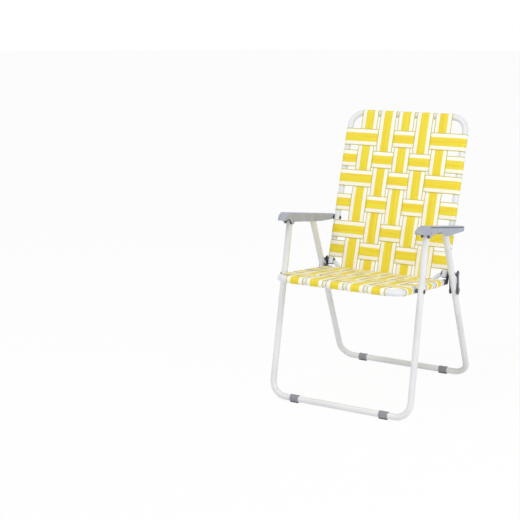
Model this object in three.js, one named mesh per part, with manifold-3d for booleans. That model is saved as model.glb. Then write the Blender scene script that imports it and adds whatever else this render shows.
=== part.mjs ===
// Folding lawn chair of bent steel tube with woven webbing.
// Millimetres, +Z up, the sitter faces -Y. The origin is on the floor at the middle of the chair.
// The side view is drawn in (y, z): two leg frames, the arms, the back, the seat and a pair of short
// links that carry the seat corner on the rear legs. Every frame is flat and is drawn in its own plane.

import * as THREE from "three";
import { mergeVertices } from "three/addons/utils/BufferGeometryUtils.js";
import Module from "manifold-3d";

const wasm = await Module();
wasm.setup();

// Stock and fits
const tubeDiameter = 20;       // legs, seat rails and back uprights
const tubeWall = 1.2;
const barDiameter = 14;        // the two cross bars at the seat corner
const pinDiameter = 6;         // every rivet and pin
const headDiameter = 13;       // rivet heads
const headThick = 2.4;
const fitGap = 0.3;            // between pieces that touch
const cutOver = 2;             // how far a cut runs past what it cuts
const sideCount = 12;          // flats round a tube
const boreSides = 8;
const pinSides = 12;
const bendSteps = 5;
const curveSteps = 4;           // on each rounded edge of the arms

// Side view, measured from the seat's front bar
const seatHeight = 401;
const seatLength = 376.6;
const seatSlope = 6.71;            // degrees, down to the rear
const backLength = 500.8;
const backLean = 17.2;             // degrees from upright
const cornerPast = 2.5;            // corner pin beyond the rails' ends
const cornerRise = 29.5;           // corner pin above the rails
const frontFootBehind = 32.6;      // front foot bar behind the seat's front bar
const rearFootBehind = 159.5;      // rear foot bar behind the corner pin
const armPastBolt = 12.9;          // from the rear bolt to the arm's end
const armSlope = 8.37;             // degrees, down to the rear
const armTipRise = 173.3;          // above the seat's front bar
const armTipBehind = 69.9;
const armFrontPivotAlong = 68.2;   // from the arm's tip, along the arm
const armPivotDrop = 4.3;          // leg pivots below the arm's middle line
const linkLength = 56.7;

// Widths
const railHalf = 201;              // middle plane to the centre of a seat rail or back upright
const legGap = 7.6;                // between a rail and a leg, at the arms
const footSplay = 4.8;             // how far each leg leans out to its foot

// Frames
const legBendRadius = 47;
const backBendRadius = 44;
const seatBendRadius = 36;
const legTopPast = 7;              // tube beyond the arm pivot

// Webbing
const strapWidth = 57;
const strapThick = 1;
const backUprightCount = 5;
const backPitchShare = 0.32;       // of half the width between rails
const backLowerCount = 2;          // cross straps below the arm bolt, the rest above
const backGapShares = [0.12, 0.071, 0.2, 0.189];   // of the free length, below each upper strap
const boltClear = 2;               // between the arm bolt and the strap below it
const seatLongCount = 5;
const seatPitchShare = 1 / 3;
const seatCrossCount = 4;
const tailAngle = 35;              // how far a strap's end runs past the far side of its tube, degrees
const wrapSteps = 9;

// Cross bars at the seat corner
const seatBarFromEnd = 28;         // before the rails' ends
const backBarDrop = 28.4;          // below the back pivot, along the back
const backBarEndDrop = 8;          // where its ends meet the uprights
const backBarPast = 8;             // straight beyond the outer straps, to the bend's corner
const backBarEndRun = 5;           // straight across at each end
const barBendRadius = 9;

// Foot clips
const clipWall = 1.8;
const clipLength = 28;
const clipPadWidth = 15;
const frontClipShare = 0.647;      // of half the foot bar
const rearClipShare = 0.634;
const clipSides = 16;

// Armrests
const armGap = 3.4;                // between a back upright and the arm
const armWidth = 30;
const armNoseWidth = 35;
const armHeight = 24;              // at the tail
const armFrontHigher = 5;
const armWall = 2.6;
const armLugFrom = 24;             // ahead of the front leg's pin
const armLugTip = 4;               // the same
const armLugDrop = 8.5;            // below the flange's edge
const armLugRound = 6;
const armNotchFrom = 16;           // the inner flange is cut higher ahead of the lug
const armNotchRise = 5;
const armArchFrom = 12;            // the outer flange's arch, behind the front leg's pin
const armArchTo = 15;              // ahead of the rear leg's pin
const armArchRise = 8;
const armSocketDrop = 4;           // outer flange lower round the rear leg
const armSocketHalf = 19;
const armBottomRound = 6;
const armNoseLength = 46;
const armNoseDrop = 20;            // how far the nose falls below the top
const armFrontRise = 3;            // the flange ahead of the lug stands higher by this
const armTailLength = 106;
const armTailRise = 7;
const armTailDrop = 8;             // rounding of the top at the tail
const armTailRound = 5;
const armTailTaper = 4;
const armTipFromInner = 14;        // the nose's foremost point, across the arm
const armNoseCorner = 28;          // where the curve outside that point is drawn to
const armNoseCornerBehind = 3;
const armNeckFrom = 38;            // the nose narrows to the arm's width from here
const armNeckLength = 24;
const stopPadLength = 7;
const stopPadRise = 1;             // above the flange's edge
const stopProngWidth = 3.4;
const stopProngAhead = 7.2;        // ahead of the front leg's pin
const stopProngLength = 6.2;
const stopProngBelow = 11;
const armCollarDiameter = 14.6;
const armNutThick = 4;

// Seat corner links
const linkLobeDiameter = 24.4;
const linkWaistWidth = 17;
const linkThick = 2.4;
const linkSideGap = 1.4;           // between a link and the leg
const stopSleeveDiameter = 10;     // on the corner pin, resting on the rear leg
const lobeSteps = 12;
const earThick = 2.4;
const earLobeDiameter = 15.5;
const earFootLength = 26;
const rivetInnerHead = 1.05;
const endRoom = 1.1;               // between the back tube's end and the seat rail as they turn
const plugFlange = 2.4;
const plugReach = 8;
const plugStep = 1;                // plug flange inside the tube's outer surface
const spacerDiameter = 13;

// Finishes
const finishes = {
  white: { color: 0xf0f1f2, roughness: 0.42, metalness: 0.1 },
  grey: { color: 0x8c8f99, roughness: 0.55, metalness: 0 },
  black: { color: 0x23242a, roughness: 0.6, metalness: 0 },
  dark: { color: 0x4a4e56, roughness: 0.45, metalness: 0.6 },
  steel: { color: 0x9a9da3, roughness: 0.35, metalness: 0.8 },
  webbing: { color: 0xf6d91c, roughness: 0.75, metalness: 0 },
};

const tubeRadius = tubeDiameter / 2;
const barRadius = barDiameter / 2;
const pinRadius = pinDiameter / 2;
const headRadius = headDiameter / 2;
const holeRadius = pinRadius + fitGap;
const strapMid = tubeRadius + fitGap + strapThick / 2;        // strap's middle over a tube's centre
const weaveLift = (strapThick + fitGap) / 2;
const barLift = tubeRadius - barRadius;                       // puts bars and tubes under one webbing face
const footZ = clipWall + fitGap + tubeRadius;
const railOuter = railHalf + tubeRadius;
const railInner = railHalf - tubeRadius;
const armInnerX = railOuter + armGap;
const armOuterX = armInnerX + armWidth;
const legTopHalf = railOuter + legGap + tubeRadius;
const footHalf = legTopHalf + footSplay;
const stopRadius = stopSleeveDiameter / 2;

// A place in the side view, and straight lines between such places
const place = (y, z) => new THREE.Vector2(y, z);
const unit = (from, to) => to.clone().sub(from).normalize();
const along = (from, direction, length) => from.clone().addScaledVector(direction, length);
const cross2 = (a, b) => a.x * b.y - a.y * b.x;
const meet = (a, aDirection, b, bDirection) =>
  along(a, aDirection, cross2(b.clone().sub(a), bDirection) / cross2(aDirection, bDirection));
const heading = (degrees) => {
  const angle = THREE.MathUtils.degToRad(degrees);
  return place(Math.cos(angle), Math.sin(angle));
};
const normalTo = (direction) => place(-direction.y, direction.x);
const uprightDegrees = 90;

const seatFront = place(0, seatHeight);
const seatBack = heading(-seatSlope);
const seatCorner = along(seatFront, seatBack, seatLength + cornerPast);
const backPivot = along(seatCorner, normalTo(seatBack), cornerRise);
const backUp = heading(uprightDegrees - backLean);
const armTip = place(armTipBehind, seatHeight + armTipRise);
const armDirection = heading(-armSlope);
const armPivotLine = along(armTip, normalTo(armDirection), -armPivotDrop);
const armRearPivot = meet(armTip, armDirection, backPivot, backUp);
const armLength = armTip.distanceTo(armRearPivot) + armPastBolt;

const frontFoot = place(frontFootBehind, footZ);
const armFrontPivot = along(armPivotLine, armDirection, armFrontPivotAlong);
const frontLegUp = unit(frontFoot, armFrontPivot);
const seatPivot = meet(seatFront, seatBack, frontFoot, frontLegUp);

// The rear leg passes in front of the corner pin, touching its sleeve, and the link meets it lower down
const rearFoot = place(backPivot.x + rearFootBehind, footZ);
const pinToLeg = stopRadius + fitGap + tubeRadius;
const leanPast = Math.asin(pinToLeg / rearFoot.distanceTo(backPivot));
const rearLegUp = unit(rearFoot, backPivot).rotateAround(place(0, 0), leanPast);
const armMidPivot = meet(rearFoot, rearLegUp, armPivotLine, armDirection);
const linkPivot = along(along(backPivot, normalTo(rearLegUp), pinToLeg), rearLegUp,
  -Math.sqrt(linkLength ** 2 - pinToLeg ** 2));
const backTubeEnd = Math.sqrt((cornerRise - tubeRadius - endRoom) ** 2 - tubeRadius ** 2) - plugFlange;

// Leg centres lean in from foot to arm
const frontLegLength = frontFoot.distanceTo(armFrontPivot);
const rearLegLength = rearFoot.distanceTo(armMidPivot);
const legHalf = (share) => footHalf - footSplay * share;
const linkLegHalf = legHalf(rearFoot.distanceTo(linkPivot) / rearLegLength);
const seatLegHalf = legHalf(frontFoot.distanceTo(seatPivot) / frontLegLength);
const innerPlateX = linkLegHalf - tubeRadius - linkSideGap - linkThick;
const outerPlateX = linkLegHalf + tubeRadius + linkSideGap;

// The chair's length decides the origin
const frontReach = -strapMid - strapThick / 2;
const rearReach = rearFoot.x + tubeRadius + fitGap + clipWall;
const middleY = (frontReach + rearReach) / 2;

// A flat frame's own plane: x stays, y runs along the frame, z is its face
const planeOf = (origin, direction) => {
  const group = new THREE.Group();
  group.position.set(0, origin.x, origin.y);
  group.rotation.x = Math.atan2(direction.y, direction.x);
  return group;
};
const inPlane = (origin, direction, point) => {
  const offset = point.clone().sub(origin);
  return { along: offset.dot(direction), out: cross2(direction, offset) };
};

const chair = new THREE.Group();
chair.position.y = -middleY;
const sideView = new THREE.Group();
const frontPlane = planeOf(frontFoot, frontLegUp);
const rearPlane = planeOf(rearFoot, rearLegUp);
const backPlane = planeOf(backPivot, backUp);
const seatPlane = planeOf(seatFront, seatBack);
const armPlane = planeOf(armTip, armDirection);
const linkPlane = planeOf(linkPivot, unit(linkPivot, backPivot));
chair.add(sideView, frontPlane, rearPlane, backPlane, seatPlane, armPlane, linkPlane);

const add = (group, name, geometry, finish) => {
  const mesh = new THREE.Mesh(geometry, new THREE.MeshStandardMaterial(finishes[finish]));
  mesh.name = name;
  group.add(mesh);
};
const bothSides = (make) => {
  make("left", -1);
  make("right", 1);
};

// Solids for cutting
const solidOf = (geometry) => {
  const bare = geometry.clone();
  bare.deleteAttribute("normal");
  bare.deleteAttribute("uv");
  const merged = mergeVertices(bare);
  const vertProperties = new Float32Array(merged.attributes.position.array);
  const triVerts = new Uint32Array(merged.index.array);
  return new wasm.Manifold(new wasm.Mesh({ numProp: 3, vertProperties, triVerts }));
};
const geometryOf = (solid) => {
  const mesh = solid.getMesh();
  const geometry = new THREE.BufferGeometry();
  geometry.setAttribute("position", new THREE.BufferAttribute(new Float32Array(mesh.vertProperties), 3));
  geometry.setIndex(new THREE.BufferAttribute(new Uint32Array(mesh.triVerts), 1));
  return geometry;
};
const cut = (geometry, tools) =>
  geometryOf(tools.reduce((solid, tool) => solid.subtract(solidOf(tool)), solidOf(geometry)));

// A shape drawn in (y, z), given a width across the chair from one x to another
const acrossChair = new THREE.Matrix4().makeBasis(
  new THREE.Vector3(0, 1, 0), new THREE.Vector3(0, 0, 1), new THREE.Vector3(1, 0, 0));
const extrudeAcross = (shape, fromX, toX) => {
  const geometry = new THREE.ExtrudeGeometry(shape, { depth: Math.abs(toX - fromX), bevelEnabled: false });
  return geometry.applyMatrix4(acrossChair).translate(Math.min(fromX, toX), 0, 0);
};
// A shape drawn in (x, z), given a length along y
const extrudeAlong = (shape, fromY, toY) => {
  const geometry = new THREE.ExtrudeGeometry(shape, { depth: toY - fromY, bevelEnabled: false });
  return geometry.rotateX(Math.PI / 2).translate(0, toY, 0);
};

// A turned piece on an axis across the chair: steps of [radius, x], outwards from the middle plane
const turned = (steps, side, y, z) => {
  const ends = [[0, steps[0][1]], ...steps, [0, steps.at(-1)[1]]];
  const profile = ends.map(([radius, x]) => new THREE.Vector2(radius, x * side));
  if (side < 0) profile.reverse();
  const geometry = new THREE.LatheGeometry(profile, pinSides).rotateZ(-Math.PI / 2);
  return geometry.translate(0, y, z);
};
const drill = (y, z, fromX, toX) =>
  turned([[holeRadius, fromX - cutOver], [holeRadius, toX + cutOver]], 1, y, z);

// A bent tube: straight runs joined by round bends, with a ring only where it is needed
class BentPath extends THREE.Curve {
  constructor(stations) {
    super();
    this.stations = stations;
  }
  station(u) {
    return this.stations[Math.round(u * (this.stations.length - 1))];
  }
  getPointAt(u) {
    return this.station(u).point.clone();
  }
  getTangentAt(u) {
    return this.station(u).tangent.clone();
  }
}
const bentPath = (corners, radius) => {
  const stations = [];
  const first = corners[1].clone().sub(corners[0]).normalize();
  stations.push({ point: corners[0], tangent: first });
  for (let i = 1; i < corners.length - 1; i += 1) {
    const before = corners[i].clone().sub(corners[i - 1]).normalize();
    const after = corners[i + 1].clone().sub(corners[i]).normalize();
    const turn = before.angleTo(after);
    const inward = after.clone().sub(before).normalize();
    const centre = corners[i].clone().addScaledVector(inward, radius / Math.cos(turn / 2));
    for (let step = 0; step <= bendSteps; step += 1) {
      const angle = turn * (step / bendSteps - 1 / 2);
      const tangent = before.clone().add(after).normalize().multiplyScalar(Math.cos(angle))
        .addScaledVector(inward, Math.sin(angle));
      const out = inward.clone().multiplyScalar(-Math.cos(angle))
        .addScaledVector(before.clone().add(after).normalize(), Math.sin(angle));
      stations.push({ point: centre.clone().addScaledVector(out, radius), tangent });
    }
  }
  const last = corners.at(-1).clone().sub(corners.at(-2)).normalize();
  stations.push({ point: corners.at(-1), tangent: last });
  return new BentPath(stations);
};
const ring = (radius, count) => {
  const points = [];
  for (let i = 0; i < count; i += 1) {
    const angle = (i + 1 / 2) * 2 * Math.PI / count;
    points.push(new THREE.Vector2(radius * Math.cos(angle), radius * Math.sin(angle)));
  }
  return points;
};
const tubeAlong = (corners, bendRadius, radius) => {
  const section = new THREE.Shape(ring(radius, sideCount));
  section.holes.push(new THREE.Path(ring(radius - tubeWall, boreSides).reverse()));
  const path = bentPath(corners, bendRadius);
  return new THREE.ExtrudeGeometry(section, { steps: path.stations.length - 1, extrudePath: path });
};
const flatPoint = (x, y, z = 0) => new THREE.Vector3(x, y, z);
const uFrame = (barHalf, endHalf, barAt, endAt, bendRadius, holes) => {
  const corners = [flatPoint(-endHalf, endAt), flatPoint(-barHalf, barAt),
    flatPoint(barHalf, barAt), flatPoint(endHalf, endAt)];
  return cut(tubeAlong(corners, bendRadius, tubeRadius), holes);
};
const holesThrough = (half, ...points) => points.flatMap(({ along: y, out: z }) =>
  [-half, half].map((x) => drill(y, z, x - tubeRadius, x + tubeRadius)));

// Front legs: one tube bent to a U, with a clip near each end of the foot bar
const inFront = (point) => inPlane(frontFoot, frontLegUp, point);
const frontTopAlong = frontLegLength + legTopPast;
const frontTopHalf = legHalf(frontTopAlong / frontLegLength);
add(frontPlane, "front_leg_frame", uFrame(footHalf, frontTopHalf, 0, frontTopAlong, legBendRadius,
  [...holesThrough(seatLegHalf, inFront(seatPivot)), ...holesThrough(legTopHalf, inFront(armFrontPivot))]),
"white");

// Rear legs: the same again, leaning the other way
const inRear = (point) => inPlane(rearFoot, rearLegUp, point);
const rearTopAlong = rearLegLength + legTopPast;
const rearTopHalf = legHalf(rearTopAlong / rearLegLength);
add(rearPlane, "rear_leg_frame", uFrame(footHalf, rearTopHalf, 0, rearTopAlong, legBendRadius,
  [...holesThrough(linkLegHalf, inRear(linkPivot)), ...holesThrough(legTopHalf, inRear(armMidPivot))]),
"white");

// Foot clips: a sleeve on the bar with a flat pad under it
const footClip = (centreX) => {
  const outer = tubeRadius + fitGap + clipWall;
  const padAngle = Math.asin(clipPadWidth / 2 / outer);
  const outline = [place(clipPadWidth / 2, -outer)];
  for (let i = 0; i <= clipSides; i += 1) {
    const angle = -Math.PI / 2 + padAngle + (2 * Math.PI - 2 * padAngle) * i / clipSides;
    outline.push(place(outer * Math.cos(angle), outer * Math.sin(angle)));
  }
  outline.push(place(-clipPadWidth / 2, -outer));
  const shape = new THREE.Shape(outline);
  const bore = (tubeRadius + fitGap) / Math.cos(Math.PI / clipSides);
  shape.holes.push(new THREE.Path(ring(bore, clipSides).reverse()));
  return extrudeAcross(shape, centreX - clipLength / 2, centreX + clipLength / 2);
};
const clipRows = [["front", frontFoot, frontClipShare], ["rear", rearFoot, rearClipShare]];
for (const [row, foot, share] of clipRows) {
  bothSides((side, sign) => {
    const clip = footClip(sign * share * footHalf).translate(0, foot.x, foot.y);
    add(sideView, `${row}_foot_clip_${side}`, clip, "grey");
  });
}

// Back frame: an inverted U whose open ends stop short of the seat rails
const inBack = (point) => inPlane(backPivot, backUp, point);
add(backPlane, "back_frame", uFrame(railHalf, railHalf, backLength, -backTubeEnd, backBendRadius,
  [...holesThrough(railHalf, inBack(backPivot)), ...holesThrough(railHalf, inBack(armRearPivot))]),
"white");

// Seat frame: a U open to the rear
const inSeat = (point) => inPlane(seatFront, seatBack, point);
add(seatPlane, "seat_frame", uFrame(railHalf, railHalf, 0, seatLength, seatBendRadius,
  holesThrough(railHalf, inSeat(seatPivot))), "white");

// Plugs in the open tube ends
const endPlug = (x, y, outward) => {
  const profile = [[0, 0], [tubeRadius - plugStep, 0], [tubeRadius - plugStep, plugFlange - fitGap],
    [tubeRadius - tubeWall - plugStep, plugFlange - fitGap],
    [tubeRadius - tubeWall - plugStep, plugFlange + plugReach], [0, plugFlange + plugReach]];
  const points = profile.map(([radius, depth]) => new THREE.Vector2(radius, depth));
  const plug = new THREE.LatheGeometry(points, pinSides);
  if (outward > 0) plug.rotateX(Math.PI);
  return plug.translate(x, y + outward * plugFlange, 0);
};
bothSides((side, sign) => {
  add(backPlane, `back_end_plug_${side}`, endPlug(sign * railHalf, -backTubeEnd, -1), "black");
  add(seatPlane, `seat_end_plug_${side}`, endPlug(sign * railHalf, seatLength, 1), "black");
});

// Cross bars at the seat corner: a straight one in the seat, a shallow bow below the back
const seatBarAlong = seatLength - seatBarFromEnd;
const seatBarEnd = railInner - fitGap;
add(seatPlane, "seat_cross_bar", tubeAlong([flatPoint(-seatBarEnd, seatBarAlong, barLift),
  flatPoint(seatBarEnd, seatBarAlong, barLift)], barBendRadius, barRadius), "white");
const backUprightPitch = railHalf * backPitchShare;
const backBarStraight = backUprightPitch * (backUprightCount - 1) / 2 + strapWidth / 2 + backBarPast;
const backBarEnd = seatBarEnd - headThick - fitGap;
const halfBow = [flatPoint(backBarStraight, -backBarDrop, barLift),
  flatPoint(backBarEnd - backBarEndRun, -backBarEndDrop, barLift),
  flatPoint(backBarEnd, -backBarEndDrop, barLift)];
const otherHalf = halfBow.map(({ x, y, z }) => flatPoint(-x, y, z)).reverse();
add(backPlane, "back_cross_bar", tubeAlong([...otherHalf, ...halfBow], barBendRadius, barRadius), "white");

// Webbing: a strap's middle line is drawn flat, thickened and given the strap's width
const polar = (centreAlong, centreOut, radius, degrees) => {
  const angle = THREE.MathUtils.degToRad(degrees);
  return place(centreAlong + radius * Math.cos(angle), centreOut + radius * Math.sin(angle));
};
const wrap = (centreAlong, centreOut, radius, fromDegrees, toDegrees) => {
  const points = [];
  const step = (toDegrees - fromDegrees) / wrapSteps;
  const corner = radius / Math.cos(THREE.MathUtils.degToRad(step / 2));
  for (let i = 0; i <= wrapSteps; i += 1) {
    points.push(polar(centreAlong, centreOut, corner, fromDegrees + step * i));
  }
  return points;
};
const strapShape = (line) => {
  const left = [];
  const right = [];
  line.forEach((point, i) => {
    const before = unit(line[Math.max(i - 1, 0)], line[Math.max(i, 1)]);
    const after = unit(line[Math.min(i, line.length - 2)], line[Math.min(i + 1, line.length - 1)]);
    const bisector = before.clone().add(after).normalize();
    const stretch = strapThick / 2 / Math.max(bisector.dot(before), 1 / 2);
    const normal = place(-bisector.y, bisector.x);
    left.push(along(point, normal, stretch));
    right.push(along(point, normal, -stretch));
  });
  return new THREE.Shape([...left.reverse(), ...right]);
};
// Over each crossing the strap lies flat on its own side, and it changes sides in the gaps
const wovenLine = (lowWrap, crossings, highWrap) => {
  const flats = crossings.flatMap(({ at, over }) => {
    const lift = strapMid + (over ? weaveLift : -weaveLift);
    const reach = strapWidth / 2 + fitGap;
    return [place(at - reach, lift), place(at + reach, lift)];
  });
  return [...lowWrap, ...flats, ...highWrap];
};
const crossWraps = () => ({
  low: wrap(-railHalf, 0, strapMid, -90 + tailAngle, -270),
  high: wrap(railHalf, 0, strapMid, 90, -90 - tailAngle),
});
const spread = (count, pitch) => Array.from({ length: count }, (_, i) => (i - (count - 1) / 2) * pitch);
const isOver = (cross, long) => (cross + long) % 2 === 0;

const backUprights = spread(backUprightCount, backUprightPitch);
const boltAlong = backPivot.distanceTo(armRearPivot);
const lowerLength = boltAlong - headRadius - boltClear;
const upperFree = backLength - boltAlong - backGapShares.length * strapWidth;
const backCrossAlong = [];
for (let i = 0, at = boltAlong; i < backGapShares.length; i += 1) {
  at += upperFree * backGapShares.at(-1 - i);
  backCrossAlong.unshift(at + strapWidth / 2);
  at += strapWidth;
}
for (let i = 0; i < backLowerCount; i += 1) {
  backCrossAlong.push(lowerLength * (1 - i / backLowerCount) - strapWidth / 2);
}
const barWrap = barRadius + fitGap + strapThick / 2;
backUprights.forEach((x, j) => {
  const low = wrap(-backBarDrop, barLift, barWrap, 270 + tailAngle, 90);
  const high = wrap(backLength, 0, strapMid, 90, -90 - tailAngle);
  const crossings = backCrossAlong.map((at, i) => ({ at, over: !isOver(i, j) })).reverse();
  const shape = strapShape(wovenLine(low, crossings, high));
  add(backPlane, `back_strap_upright_${j + 1}`,
    extrudeAcross(shape, x - strapWidth / 2, x + strapWidth / 2), "webbing");
});
backCrossAlong.forEach((at, i) => {
  const { low, high } = crossWraps();
  const crossings = backUprights.map((x, j) => ({ at: x, over: isOver(i, j) }));
  const shape = strapShape(wovenLine(low, crossings, high));
  add(backPlane, `back_strap_cross_${i + 1}`,
    extrudeAlong(shape, at - strapWidth / 2, at + strapWidth / 2), "webbing");
});

const seatLongs = spread(seatLongCount, railHalf * seatPitchShare);
const seatPivotAlong = seatFront.distanceTo(seatPivot);
const seatCrossPitch = (seatBarAlong - seatPivotAlong) / (seatCrossCount - 1);
const seatCrossFirst = seatPivotAlong - seatCrossPitch / 2;   // the leg's spacer is between two straps
const seatCrosses = Array.from({ length: seatCrossCount }, (_, i) => seatCrossFirst + i * seatCrossPitch);
seatLongs.forEach((x, j) => {
  const low = wrap(0, 0, strapMid, 270 + tailAngle, 90);
  const high = wrap(seatBarAlong, barLift, barWrap, 90, -90 - tailAngle);
  const crossings = seatCrosses.map((at, i) => ({ at, over: !isOver(i, j) }));
  const shape = strapShape(wovenLine(low, crossings, high));
  add(seatPlane, `seat_strap_long_${j + 1}`,
    extrudeAcross(shape, x - strapWidth / 2, x + strapWidth / 2), "webbing");
});
seatCrosses.forEach((at, i) => {
  const { low, high } = crossWraps();
  const crossings = seatLongs.map((x, j) => ({ at: x, over: isOver(i, j) }));
  const shape = strapShape(wovenLine(low, crossings, high));
  add(seatPlane, `seat_strap_cross_${i + 1}`,
    extrudeAlong(shape, at - strapWidth / 2, at + strapWidth / 2), "webbing");
});

// Armrests: a moulded channel, open below, with a lug on each side of the front leg
const armTop = armHeight / 2;
const armHigh = armTop + armFrontHigher;
const armEdge = -armHeight / 2;
const armFrontEdge = armEdge + armFrontRise;
const midInArm = inPlane(armTip, armDirection, armMidPivot);
const armSide = (outerFlange) => {
  const shape = new THREE.Shape();
  const lugFrom = armFrontPivotAlong - armLugFrom;
  const lugTip = armFrontPivotAlong - armLugTip;
  const lugEnd = lugTip + armLugRound + armLugRound;
  shape.moveTo(0, armHigh - armNoseDrop);
  shape.quadraticCurveTo(0, armFrontEdge, armBottomRound, armFrontEdge);
  if (!outerFlange) {
    const notch = armFrontEdge + armNotchRise;
    shape.lineTo(armNotchFrom, armFrontEdge);
    shape.quadraticCurveTo(armNotchFrom + armNotchRise, notch, lugFrom, notch);
  }
  shape.lineTo(outerFlange ? lugFrom + armLugRound : lugFrom, shape.currentPoint.y);
  shape.lineTo(lugTip, armEdge - armLugDrop);
  shape.quadraticCurveTo(lugTip + armLugRound, armEdge - armLugDrop, lugEnd, armEdge);
  if (outerFlange) {
    const archFrom = armFrontPivotAlong + armArchFrom;
    shape.lineTo(archFrom, armEdge);
    const archTo = midInArm.along - armArchTo;
    const archMiddle = (archFrom + archTo) / 2;
    const socket = armEdge - armSocketDrop;
    const archTop = armEdge + armArchRise;
    shape.quadraticCurveTo((archFrom + archMiddle) / 2, archTop, archMiddle, archTop);
    shape.quadraticCurveTo((archTo + archMiddle) / 2, archTop, archTo, socket);
    shape.lineTo(midInArm.along + armSocketHalf, socket);
    shape.lineTo(midInArm.along + armSocketHalf + armBottomRound, armEdge);
  }
  shape.lineTo(armLength - armTailLength, armEdge);
  shape.lineTo(armLength, armEdge + armTailRise);
  shape.lineTo(armLength, armTop - armTailDrop);
  shape.quadraticCurveTo(armLength, armTop, armLength - armTailDrop, armTop);
  shape.lineTo(armNoseLength, armHigh);
  shape.quadraticCurveTo(0, armHigh, 0, armHigh - armNoseDrop);
  return new THREE.Shape(shape.getPoints(curveSteps));
};
const armPlan = (inset, sign) => {
  const shape = new THREE.Shape();
  const inner = armInnerX + inset;
  const outer = armOuterX - inset;
  const round = armTailRound - inset;
  const rear = armLength - inset;
  const rearOuter = outer - armTailTaper;
  const noseOuter = armInnerX + armNoseWidth - inset;
  const neckMiddle = armNeckFrom + armNeckLength / 2;
  const tip = armInnerX + armTipFromInner;
  shape.moveTo(inner, inset + armTipFromInner);
  shape.lineTo(inner, armLength - armTailLength);
  shape.lineTo(inner, rear - round);
  shape.quadraticCurveTo(inner, rear, inner + round, rear);
  shape.lineTo(rearOuter - round, rear);
  shape.quadraticCurveTo(rearOuter, rear, rearOuter, rear - round);
  shape.lineTo(outer, armLength - armTailLength);
  shape.lineTo(outer, armNeckFrom + armNeckLength);
  shape.bezierCurveTo(outer, neckMiddle, noseOuter, neckMiddle, noseOuter, armNeckFrom);
  shape.quadraticCurveTo(armInnerX + armNoseCorner - inset, armNoseCornerBehind + inset, tip, inset);
  shape.quadraticCurveTo(inner, inset, inner, inset + armTipFromInner);
  const points = shape.getPoints(curveSteps).map((point) => place(sign * point.x, point.y));
  return new THREE.Shape(sign > 0 ? points : points.reverse());
};
// The channel under the arm keeps the wall's thickness round the nose and the tail
const armHollow = () => {
  const shape = new THREE.Shape();
  const below = armEdge - armLugDrop - cutOver;
  const ceiling = armTop - armWall;
  const frontCeiling = armHigh - armWall;
  const rear = armLength - armWall;
  shape.moveTo(armWall, below);
  shape.lineTo(rear, below);
  shape.lineTo(rear, ceiling - armTailDrop);
  shape.quadraticCurveTo(rear, ceiling, rear - armTailDrop, ceiling);
  shape.lineTo(armNoseLength, frontCeiling);
  shape.quadraticCurveTo(armWall, frontCeiling, armWall, frontCeiling - armNoseDrop);
  return new THREE.Shape(shape.getPoints(curveSteps));
};
const armDepth = armHeight + armFrontHigher + armLugDrop + 2 * cutOver;
const armMiddleX = (armInnerX + armOuterX) / 2;
const armNoseX = armInnerX + armNoseWidth;
const planBlock = (inset, sign, top) =>
  new THREE.ExtrudeGeometry(armPlan(inset, sign), { depth: armDepth, bevelEnabled: false })
    .translate(0, 0, top - armDepth);
const rearInArm = inPlane(armTip, armDirection, armRearPivot);
const legTopReach = Math.hypot(legTopPast, tubeRadius);
const stopProng = (padRear, padLow) => {
  const shape = new THREE.Shape();
  const rear = armFrontPivotAlong - stopProngAhead;
  const front = rear - stopProngLength;
  const tip = armFrontEdge - stopProngBelow;
  shape.moveTo(front, padLow + stopProngLength);
  shape.lineTo(front, padLow);
  shape.quadraticCurveTo(front, tip, (front + rear) / 2, tip);
  shape.quadraticCurveTo(rear, tip, rear, armEdge);
  shape.lineTo(padRear, padLow);
  shape.lineTo(padRear, padLow + stopProngLength);
  return new THREE.Shape(shape.getPoints(curveSteps));
};
bothSides((side, sign) => {
  const innerHalf = solidOf(extrudeAcross(armSide(false), sign * (armInnerX - cutOver), sign * armMiddleX));
  const outerHalf = solidOf(extrudeAcross(armSide(true), sign * armMiddleX, sign * (armNoseX + cutOver)));
  const body = innerHalf.add(outerHalf).intersect(solidOf(planBlock(0, sign, armHigh + cutOver)));
  const hollow = solidOf(extrudeAcross(armHollow(), sign * armInnerX, sign * armNoseX));
  const channel = hollow.intersect(solidOf(planBlock(armWall, sign, armHigh)));
  const wallFrom = sign > 0 ? armInnerX : -armInnerX - armWall;
  const boltHole = drill(rearInArm.along, rearInArm.out, wallFrom, wallFrom + armWall);
  add(armPlane, `armrest_${side}`, geometryOf(body.subtract(channel).subtract(solidOf(boltHole))), "grey");

  // A pad in the channel ahead of the leg, with a prong on each side of the leg
  const padRear = armFrontPivotAlong - legTopReach - fitGap;
  const padLow = armFrontEdge + stopPadRise;
  const padHigh = armTop - armWall - fitGap;
  const padInner = armInnerX + armWall + fitGap;
  const padOuter = armOuterX - armWall - fitGap;
  const bridge = new THREE.Shape([place(padRear - stopPadLength, padLow), place(padRear, padLow),
    place(padRear, padHigh), place(padRear - stopPadLength, padHigh)]);
  const prong = stopProng(padRear, padLow);
  const parts = [[bridge, padInner, padOuter], [prong, padInner, padInner + stopProngWidth],
    [prong, padOuter - stopProngWidth, padOuter]];
  const solids = parts.map(([shape, fromX, toX]) =>
    solidOf(extrudeAcross(shape, sign * fromX, sign * toX)));
  add(armPlane, `arm_stop_pad_${side}`, geometryOf(solids.reduce((all, one) => all.add(one))), "black");
});

// Pins in the arms: each leg's pin fills the channel beside the leg with its shoulder
const channelInner = armInnerX + armWall + fitGap;
const channelOuter = armOuterX - armWall - fitGap;
const legInner = legTopHalf - tubeRadius - fitGap;
const legOuter = legTopHalf + tubeRadius + fitGap;
const legPin = (sign, point) => turned([
  [headRadius, channelInner], [headRadius, legInner], [pinRadius, legInner],
  [pinRadius, legOuter], [headRadius, legOuter], [headRadius, channelOuter]], sign, point.x, point.y);
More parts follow.
